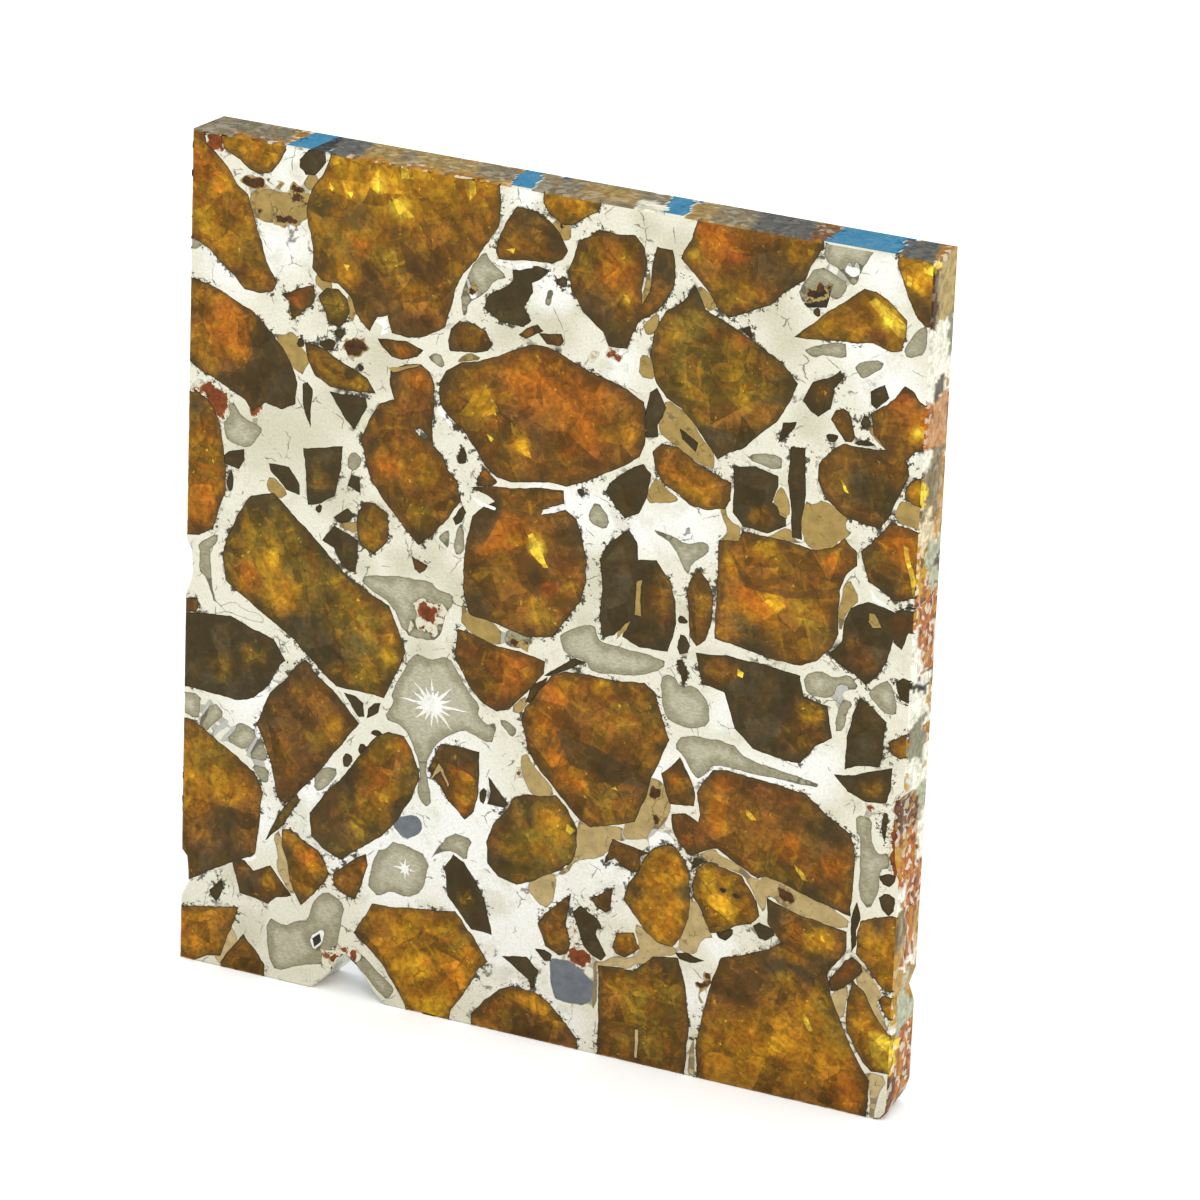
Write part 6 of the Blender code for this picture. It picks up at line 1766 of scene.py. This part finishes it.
@dataclass(frozen=True)
class MetalFinish:
    """One of the finishes that the metal network has."""

    name: str
    metallic: float
    roughness: float

    def material(self) -> bpy.types.Material:
        """Build the material: the painted colour, broken up by this finish's own pattern."""
        tree = ShaderTree(self.name)
        grain = tree.attribute("grain", "Vector")
        colour = self.patterned(tree, grain, tree.attribute("tint", "Color"))
        smooth, rough = self.roughness - 0.07, self.roughness + 0.07
        worn = tree.level(tree.noise(grain, 1.6, 4.0, 0.6), 0.3, 0.7, smooth, rough)
        if self.metallic < 0.5:
            tree.bump(tree.noise(grain, 3.0, 3.0, 0.6), 0.00005)
        return tree.finish(
            Base_Color=colour,
            Metallic=self.metallic,
            Roughness=worn,
            Specular_IOR_Level=0.10,
        )

    def patterned(self, tree: ShaderTree, grain: object, tint: object) -> bpy.types.NodeSocket:
        """The colour with the finish's pattern on it."""
        return tree.mottled(tint, tree.noise(grain, 1.2, 4.0), 0.85, 1.1)


@dataclass(frozen=True)
class Kamacite(MetalFinish):
    """Bright polished nickel-iron: cream white with grey clouds, hairlines and a tarnished border."""

    def patterned(self, tree: ShaderTree, grain: object, tint: object) -> bpy.types.NodeSocket:
        """The colour with clouds, specks, hairlines and borders."""
        border = tree.attribute("border", "Fac")
        clouds = tree.level(tree.noise(grain, 0.33, 5.0, 0.62), 0.48, 0.68, 0.0, 0.6)
        colour = tree.mix(tree.times(clouds, tree.level(border, 0.10, 0.35)), tint, Pigment.HAZE)
        colour = tree.mottled(colour, tree.noise(grain, 5.0, 3.0, 0.7), 0.90, 1.05)
        broken = tree.times(tree.level(tree.noise(grain, 0.7, 3.0), 0.50, 0.60), 0.75)
        hairlines = tree.bent(grain, 1.0, 0.35)
        colour = tree.cracked(colour, hairlines, 0.38, (0.004, 0.018), broken, Pigment.DARK_GREY)
        specks = tree.level(tree.noise(grain, 2.6, 4.0, 0.7), 0.665, 0.70)
        colour = tree.mix(tree.times(specks, 0.7), colour, Pigment.DARK_GREY)
        colour = tree.edged(colour, border, 0.06, 0.5, Pigment.DARK_GREY)
        eaten = tree.level(tree.noise(grain, 1.9, 5.0, 0.75), 0.46, 0.72, 0.0, 0.8)
        torn = tree.level(tree.math("SUBTRACT", tree.attribute("rim", "Fac"), eaten), -0.04, 0.03, 0.92, 0.0)
        patchy = tree.level(tree.noise(grain, 0.17, 2.0), 0.47, 0.54)
        return tree.mix(tree.times(torn, patchy), colour, Pigment.SHADE)


@dataclass(frozen=True)
class Plessite(MetalFinish):
    """Grey plessite: darker at its border, paler and faintly felted inside."""

    def patterned(self, tree: ShaderTree, grain: object, tint: object) -> bpy.types.NodeSocket:
        """The colour with its paler middle and its felt."""
        border = tree.attribute("border", "Fac")
        uneven = tree.math("ADD", border, tree.level(tree.noise(grain, 1.0, 4.0), 0.3, 0.7, -0.25, 0.25))
        colour = tree.mix(tree.level(uneven, 0.1, 0.9), tint, Pigment.PALE_GREY)
        needles = tree.noise(tree.mapped(tree.bent(grain, 1.0, 0.2), (1.0, 2.4, 1.0)), 2.8, 3.0, 0.7)
        colour = tree.mottled(colour, needles, 0.80, 1.10, 0.35, 0.65)
        return tree.edged(colour, border, 0.09, 0.7, Pigment.DARK_GREY)


@dataclass(frozen=True)
class Troilite(MetalFinish):
    """Tan iron sulphide, faintly clouded, with fine cracks."""

    def patterned(self, tree: ShaderTree, grain: object, tint: object) -> bpy.types.NodeSocket:
        """The colour with clouds and cracks."""
        colour = tree.mottled(tint, tree.noise(grain, 1.1, 5.0, 0.65), 0.82, 1.14)
        broken = tree.times(tree.level(tree.noise(grain, 1.3, 3.0), 0.5, 0.62), 0.55)
        cracks = tree.bent(grain, 1.5, 0.3)
        colour = tree.cracked(colour, cracks, 0.8, (0.01, 0.035), broken, Pigment.DARK_BROWN)
        return tree.edged(colour, tree.attribute("border", "Fac"), 0.07, 0.6, Pigment.DARK_GREY)


@dataclass(frozen=True)
class Crust(MetalFinish):
    """Rust, stone and dark grains, crumbling away to their ground at the border."""

    ground: Pigment = Pigment.HAZE
    eaten: float = 0.24

    def patterned(self, tree: ShaderTree, grain: object, tint: object) -> bpy.types.NodeSocket:
        """The colour with a coarse, crumbly mottling and a torn border."""
        crumbs = tree.cells(grain, 3.5, output="Color")
        coarse = tree.mottled(tint, tree.noise(grain, 1.3, 6.0, 0.7), 0.55, 1.4)
        colour = tree.mix(tree.times(tree.level(crumbs, 0.6, 0.9), 0.35), coarse, tree.dimmed(tint, 0.3))
        eaten = tree.level(tree.noise(grain, 1.7, 5.0, 0.75), 0.42, 0.66, 0.0, self.eaten)
        torn = tree.math("SUBTRACT", tree.attribute("border", "Fac"), eaten)
        return tree.mix(tree.level(torn, -0.03, 0.03, 1.0, 0.0), colour, self.ground)


@dataclass(frozen=True)
class SawnSide(MetalFinish):
    """A sawn side: matt, streaked, and broken up by gold, rust and white where the paint asks for it."""

    def patterned(self, tree: ShaderTree, grain: object, tint: object) -> bpy.types.NodeSocket:
        """The colour with streaks and crumbs."""
        drawn = tree.mapped(tree.bent(grain, 0.8, 0.5), (0.6, 1.5, 1.5))
        colour = tree.mottled(tint, tree.noise(drawn, 1.3, 4.0, 0.7), 0.62, 1.36)
        crumbs = tree.cells(drawn, 1.7, output="Color")
        broken = tree.attribute("tint", "Alpha")
        for index, pigment in enumerate((Pigment.GOLD, Pigment.DARK_RUST, Pigment.CREAM)):
            share = tree.level(tree.channel(crumbs, index), 0.72, 0.84, 0.0, 0.65)
            colour = tree.mix(tree.times(share, broken), colour, pigment)
        return colour


METAL_FINISHES: dict[Finish, MetalFinish] = {
    Finish.KAMACITE: Kamacite("bright_kamacite", metallic=1.0, roughness=0.24),
    Finish.PLESSITE: Plessite("grey_plessite", metallic=0.9, roughness=0.32),
    Finish.TROILITE: Troilite("tan_troilite", metallic=0.7, roughness=0.34),
    Finish.RUST: Crust("rust", metallic=0.0, roughness=0.55),
    Finish.INCLUSION: MetalFinish("blue_grey_inclusion", metallic=0.6, roughness=0.3),
    Finish.CRUST: Crust("dark_crust", metallic=0.0, roughness=0.6, ground=Pigment.TAN, eaten=0.16),
    Finish.SAWN: SawnSide("sawn_side", metallic=0.0, roughness=0.5),
}

TORN_FINISHES = (Finish.RUST, Finish.CRUST)
FIELDS: tuple[tuple[tuple[Numbers, ...], Finish, Pigment], ...] = (
    (TAN_FIELDS, Finish.TROILITE, Pigment.TAN),
    (GREY_FIELDS, Finish.PLESSITE, Pigment.GREY),
    (RUST_FIELDS, Finish.RUST, Pigment.RUST),
    (BLUE_GREY_FIELDS, Finish.INCLUSION, Pigment.BLUE_GREY),
    (DARK_FIELDS, Finish.CRUST, Pigment.DARK_BROWN),
    (WHITE_FIELDS, Finish.KAMACITE, Pigment.BRIGHT),
)
INLAYS: tuple[tuple[tuple[Numbers, ...], Finish, Pigment], ...] = (
    (BRIGHT_INLAYS, Finish.KAMACITE, Pigment.BRIGHT),
    (TAN_INLAYS, Finish.TROILITE, Pigment.TAN),
    (DARK_INLAYS, Finish.CRUST, Pigment.SHADE),
)
FAMILY_TONES: dict[Family, Pigment] = {
    Family.AMBER: Pigment.AMBER,
    Family.ORANGE: Pigment.BROWN,
    Family.BROWN: Pigment.BROWN,
    Family.OLIVE: Pigment.OLIVE,
    Family.DARK: Pigment.SHADE,
}


def over(base: Colour, top: Colour, share: float) -> Colour:
    """One linear colour laid over another."""
    return tuple(low + (high - low) * share for low, high in zip(base, top))


@dataclass
class Slice:
    """The meteorite slice: everything that its pieces share."""

    nodes: dict[str, bpy.types.Object]
    slab: SawnEdge = field(default_factory=SawnEdge.from_frame)
    grain: Grain = field(default_factory=Grain)
    face_map: FaceMap | None = None
    zones: dict[int, list[Zone]] = field(default_factory=dict)
    metal_zones: list[Zone] = field(default_factory=list)
    olivine: dict[Family, bpy.types.Material] = field(default_factory=dict)
    sawn_olivine: bpy.types.Material | None = None

    def lay_out(self) -> None:
        """Find every outline on the front face and cut the face up along them."""
        edge = EdgeLine(self.slab, self.grain.outline_step)
        areas = [Area(Kind.SLAB, edge.front)]
        for family in Family:
            for name in sorted(self.nodes):
                if name.startswith(f"{family.prefix}_crystal_"):
                    shape = CrystalShape.from_node(name, self.nodes[name], edge)
                    outline = natural(shape.outline, self.grain)
                    areas.append(Area(Kind.CRYSTAL, outline, crystal=shape, family=family))
        for family, outlines in SMALL_CRYSTALS.items():
            areas += self.areas_of(Kind.SMALL, outlines, family=family)
        for outlines, finish, pigment in FIELDS:
            ragged = self.grain.torn if finish in TORN_FINISHES else 0.0
            areas += self.areas_of(Kind.FIELD, outlines, 1, ragged, finish=finish, pigment=pigment)
        for outlines, finish, pigment in INLAYS:
            areas += self.areas_of(Kind.INLAY, outlines, finish=finish, pigment=pigment)
        for pigment, outlines in FACETS.items():
            areas += self.areas_of(Kind.FACET, outlines, pigment=pigment)
        self.sort_zones([area for area in areas if area.kind in (Kind.CRYSTAL, Kind.SMALL)])
        self.face_map = FaceMap(self.slab, edge, self.grain, Drift(), areas)
        self.face_map.lay_out()
        LOG.info("front face: %d outlines, %d triangles", len(areas), len(self.face_map.cells))
        self.olivine = {family: ClearOlivine(family).material() for family in Family}
        self.sawn_olivine = SawnSide("sawn_olivine", metallic=0.0, roughness=0.5).material()

    def areas_of(
        self, kind: Kind, outlines: Iterable[Numbers], rounding: int = 0, ragged: float = 0.0,
        **made_of: object,
    ) -> list[Area]:
        """Turn a table of outlines into areas.

        Args:
            kind: What the outlines bound.
            outlines: The table.
            rounding: How often their corners are cut.
            ragged: How far their lines are torn, in millimetres.
            made_of: The family, finish or pigment inside them.

        Returns:
            The areas.
        """
        return [Area(kind, natural(points_of(numbers), self.grain, rounding, ragged), **made_of)
                for numbers in outlines]

    def sort_zones(self, stones: list[Area]) -> None:
        """Give each soft patch of colour to the crystal that its start lies in."""
        for pigment, patches in STONE_TONES.items():
            for numbers in patches:
                zone = Zone.from_numbers(numbers, pigment)
                for stone in stones:
                    if is_inside(zone.start, stone.outline):
                        self.zones.setdefault(id(stone), []).append(zone)
                        break
        for pigment, patches in METAL_TONES.items():
            self.metal_zones.extend(Zone.from_numbers(numbers, pigment) for numbers in patches)

    def build_metal(self) -> None:
        """Build the metal network with its fields."""
        cells = [cell for cell in self.face_map.cells if cell.owner.kind is Kind.SLAB]
        body = Body(self.face_map, Wall(self.slab), cells, inset=self.grain.gap)
        shell = body.shell(self.metal_colour, self.metal_wall, lambda cell: self.field_finish(cell).value)
        materials = [METAL_FINISHES[finish].material() for finish in Finish]
        piece = shell.make(METAL_NODE + "_finished", materials)
        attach(piece, BODY)
        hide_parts(METAL_NODE)
        report(piece)

    @staticmethod
    def field_finish(cell: Cell) -> Finish:
        """What a triangle of the metal is made of."""
        return cell.detail.finish if cell.detail else Finish.KAMACITE

    def metal_colour(self, cell: Cell, place: Point) -> Colour:
        """The colour of a triangle of the metal at a place."""
        # Tan fields are painted paler towards the bottom edge, over the lowest 30 mm.
        if cell.detail and cell.detail.pigment is Pigment.TAN:
            return over(Pigment.TAN.linear, Pigment.PALE_TAN.linear, 0.5 * max(0.0, 1.0 - place[1] / 30.0))
        if cell.detail:
            return cell.detail.pigment.linear
        return toned(Pigment.CREAM.linear, place, self.metal_zones)

    def metal_wall(self, place: Point, depth: float, sawn: bool) -> tuple[Colour, int]:
        """The colour and finish of the metal's side walls."""
        # Pocket walls, where the metal meets a crystal, are painted dark rust: partly the weathering along
        # the join, partly painted shade seen through the crystal.
        if not sawn:
            return Pigment.DARK_RUST.linear, Finish.CRUST.value
        pigment = self.side_pigment(place, depth)
        on_right = place[0] > self.slab.width - SIDE_REACH and place[1] < self.slab.height - TOP_GAP
        finish = Finish.SAWN if pigment or on_right else Finish.KAMACITE
        return (pigment or Pigment.CREAM).linear, finish.value

    def side_pigment(self, place: Point, depth: float) -> Pigment | None:
        """The pigment of the last band that covers a place on a sawn side.

        Args:
            place: The place on the front edge.
            depth: The depth behind the front face.

        Returns:
            The pigment, or None where no band lies.
        """
        spot = Vector((place[0] * 0.9, place[1] * 0.9, depth * 0.9))
        shift = noise.noise(spot)
        sunk = depth + noise.noise(spot + Vector((9.0, 4.0, 2.0))) * 0.9
        if place[1] >= self.slab.height - TOP_GAP:
            bands, along = TOP_BANDS, place[0] + 0.3 * depth + 0.3 * shift
        elif place[0] > self.slab.width - SIDE_REACH:
            bands, along = RIGHT_BANDS, place[1] + 1.1 * shift
        else:
            return None
        inner = min(max(sunk, 0.0), self.slab.thickness)
        covering = [band.pigment for band in bands if band.covers(along, inner)]
        return covering[-1] if covering else None

    def build_crystals(self) -> None:
        """Build every crystal that has a node of its own."""
        cells: dict[str, list[Cell]] = {}
        for cell in self.face_map.cells:
            if cell.owner.kind is Kind.CRYSTAL:
                cells.setdefault(cell.owner.crystal.node, []).append(cell)
        for number, (name, members) in enumerate(cells.items()):
            body = Body(self.face_map, Wall(self.slab), members, inset=self.grain.gap,
                        turn=number * 2.4, shift=number * 7.3)
            self.build_clear(body, name + "_clear", members[0].owner.family, name)

    def build_small_crystals(self) -> None:
        """Build the small crystals, one piece for each colour family."""
        for number, family in enumerate(SMALL_CRYSTALS):
            members = [cell for cell in self.face_map.cells
                       if cell.owner.kind is Kind.SMALL and cell.owner.family is family]
            body = Body(self.face_map, Wall(self.slab), members, inset=self.grain.gap,
                        turn=0.7 + number, shift=3.1 * number)
            self.build_clear(body, f"small_{family.prefix}_crystals", family, None)

    def build_clear(self, body: Body, name: str, family: Family, node: str | None) -> None:
        """Build one see-through piece.

        Args:
            body: Its triangles.
            name: The piece's name.
            family: Its colour family.
            node: The node that it stands for, if it has one.
        """
        tone = FAMILY_TONES[family].linear

        def paint(cell: Cell, place: Point) -> Colour:
            """The crystal's colour at a place on its face."""
            colour = toned(tone, place, self.zones.get(id(cell.owner), ()))
            if not cell.detail:
                return colour
            # Yellow and golden facets carry painted highlights and cover the colour almost fully.
            painted_glint_facet = cell.detail.pigment in (Pigment.YELLOW, Pigment.GOLD)
            return over(colour, cell.detail.pigment.linear, 0.95 if painted_glint_facet else 0.7)

        def paint_wall(place: Point, depth: float, sawn: bool) -> tuple[Colour, int]:
            """The crystal's colour on its sides."""
            # Inside a pocket the crystal's sides are painted nearly black: partly the weathering along the
            # join, partly painted shade.
            if not sawn:
                return over(tone, Pigment.NEAR_BLACK.linear, 0.6), 0
            pigment = self.side_pigment(place, depth)
            return (pigment.linear if pigment else tone), 1

        materials = [self.olivine[family], self.sawn_olivine]
        piece = body.shell(paint, paint_wall, lambda cell: 0).make(name, materials)
        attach(piece, BODY)
        if node:
            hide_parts(node)
        family.slot
        report(piece)


@dataclass(frozen=True)
class Studio:
    """A pale floor, soft light and the camera at the photograph's angle."""

    camera_place: Colour = (0.18989, -0.40400, 0.20375)
    right: Colour = (0.90165, 0.43091, 0.03656)
    up: Colour = (-0.18463, 0.30711, 0.93359)
    lens: float = 202.25
    sensor: float = 36.0
    floor_half: float = 3.0
    key_place: Colour = (0.32, -0.68, 0.85)
    key_size: float = 0.45
    key_energy: float = 3.0
    key_colour: Colour = (1.0, 0.98, 0.95)
    world_strength: float = 1.1
    window_place: Colour = (-0.39, 0.85, 0.36)
    window_colour: Colour = (0.05, 0.26, 0.52)

    def build(self) -> None:
        """Build the floor, the lights and the camera."""
        self.build_floor()
        self.build_world()
        self.build_key()
        self.build_camera()
        bpy.context.scene.view_settings.view_transform = "Standard"

    def build_floor(self) -> None:
        """Lay the pale floor."""
        bpy.ops.object.select_all(action="DESELECT")
        bpy.ops.mesh.primitive_plane_add(size=2 * self.floor_half, location=(0.0, 0.0, 0.0))
        floor = bpy.context.object
        floor.name = "floor"
        bpy.ops.object.mode_set(mode="EDIT")
        bpy.ops.mesh.subdivide(number_cuts=4)
        bpy.ops.object.mode_set(mode="OBJECT")
        tree = ShaderTree("pale_floor")
        pattern = tree.noise(tree.node("TexCoord").outputs["Object"], 40.0, 3.0)
        colour = tree.mottled((0.94, 0.94, 0.93), pattern, 0.98, 1.0)
        floor.data.materials.append(tree.finish(Base_Color=colour, Roughness=0.7))
        floor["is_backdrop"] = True

    def build_world(self) -> None:
        """Fill the studio with soft white light, with a blue window high up behind it."""
        world = bpy.data.worlds.new("studio")
        bpy.context.scene.world = world
        world.use_nodes = True
        tree = NodeTree(world.node_tree)
        background = world.node_tree.nodes["Background"]
        tree.feed(background.inputs["Strength"], self.world_strength * LIGHT_LEVEL)
        direction = tree.node("TexCoord").outputs["Generated"]
        towards = tree.node("VectorMath", {0: direction, 1: self.window_place}, operation="DOT_PRODUCT")
        window = tree.level(towards.outputs["Value"], 0.86, 0.95)
        tree.feed(background.inputs["Color"], tree.mix(window, (1.0, 1.0, 1.0), self.window_colour))

    def build_key(self) -> None:
        """Hang a soft square light that faces the middle of the slice."""
        light = bpy.data.lights.new("soft_key", "AREA")
        light.size = self.key_size
        light.energy = self.key_energy
        light.color = self.key_colour
        lamp = bpy.data.objects.new("soft_key", light)
        bpy.context.scene.collection.objects.link(lamp)
        lamp.location = self.key_place
        towards = Vector((0.0, 0.0, 0.032)) - Vector(self.key_place)
        lamp.rotation_euler = towards.to_track_quat("-Z", "Y").to_euler()

    def build_camera(self) -> None:
        """Set the camera at the photograph's angle."""
        data = bpy.data.cameras.new("camera")
        data.lens = self.lens
        data.sensor_width = self.sensor
        data.clip_start = 0.01
        camera = bpy.data.objects.new("camera", data)
        bpy.context.scene.collection.objects.link(camera)
        right, up = Vector(self.right), Vector(self.up)
        back = right.cross(up)
        turned = Matrix((right, up, back)).transposed().to_4x4()
        camera.matrix_world = Matrix.Translation(self.camera_place) @ turned
        bpy.context.scene.camera = camera


def report(piece: bpy.types.Object) -> None:
    """Log a finished piece."""
    LOG.info("%s: %d faces", piece.name, len(piece.data.polygons))


def main() -> None:
    """Build the slice and its studio."""
    logging.basicConfig(level=logging.INFO, format="%(name)s: %(message)s")
    noise.seed_set(NOISE_SEED)
    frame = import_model()
    piece = Slice(nodes=frame["nodes"])
    piece.lay_out()
    piece.build_metal()
    piece.build_crystals()
    piece.build_small_crystals()
    Studio().build()


if __name__ == "__main__":
    main()
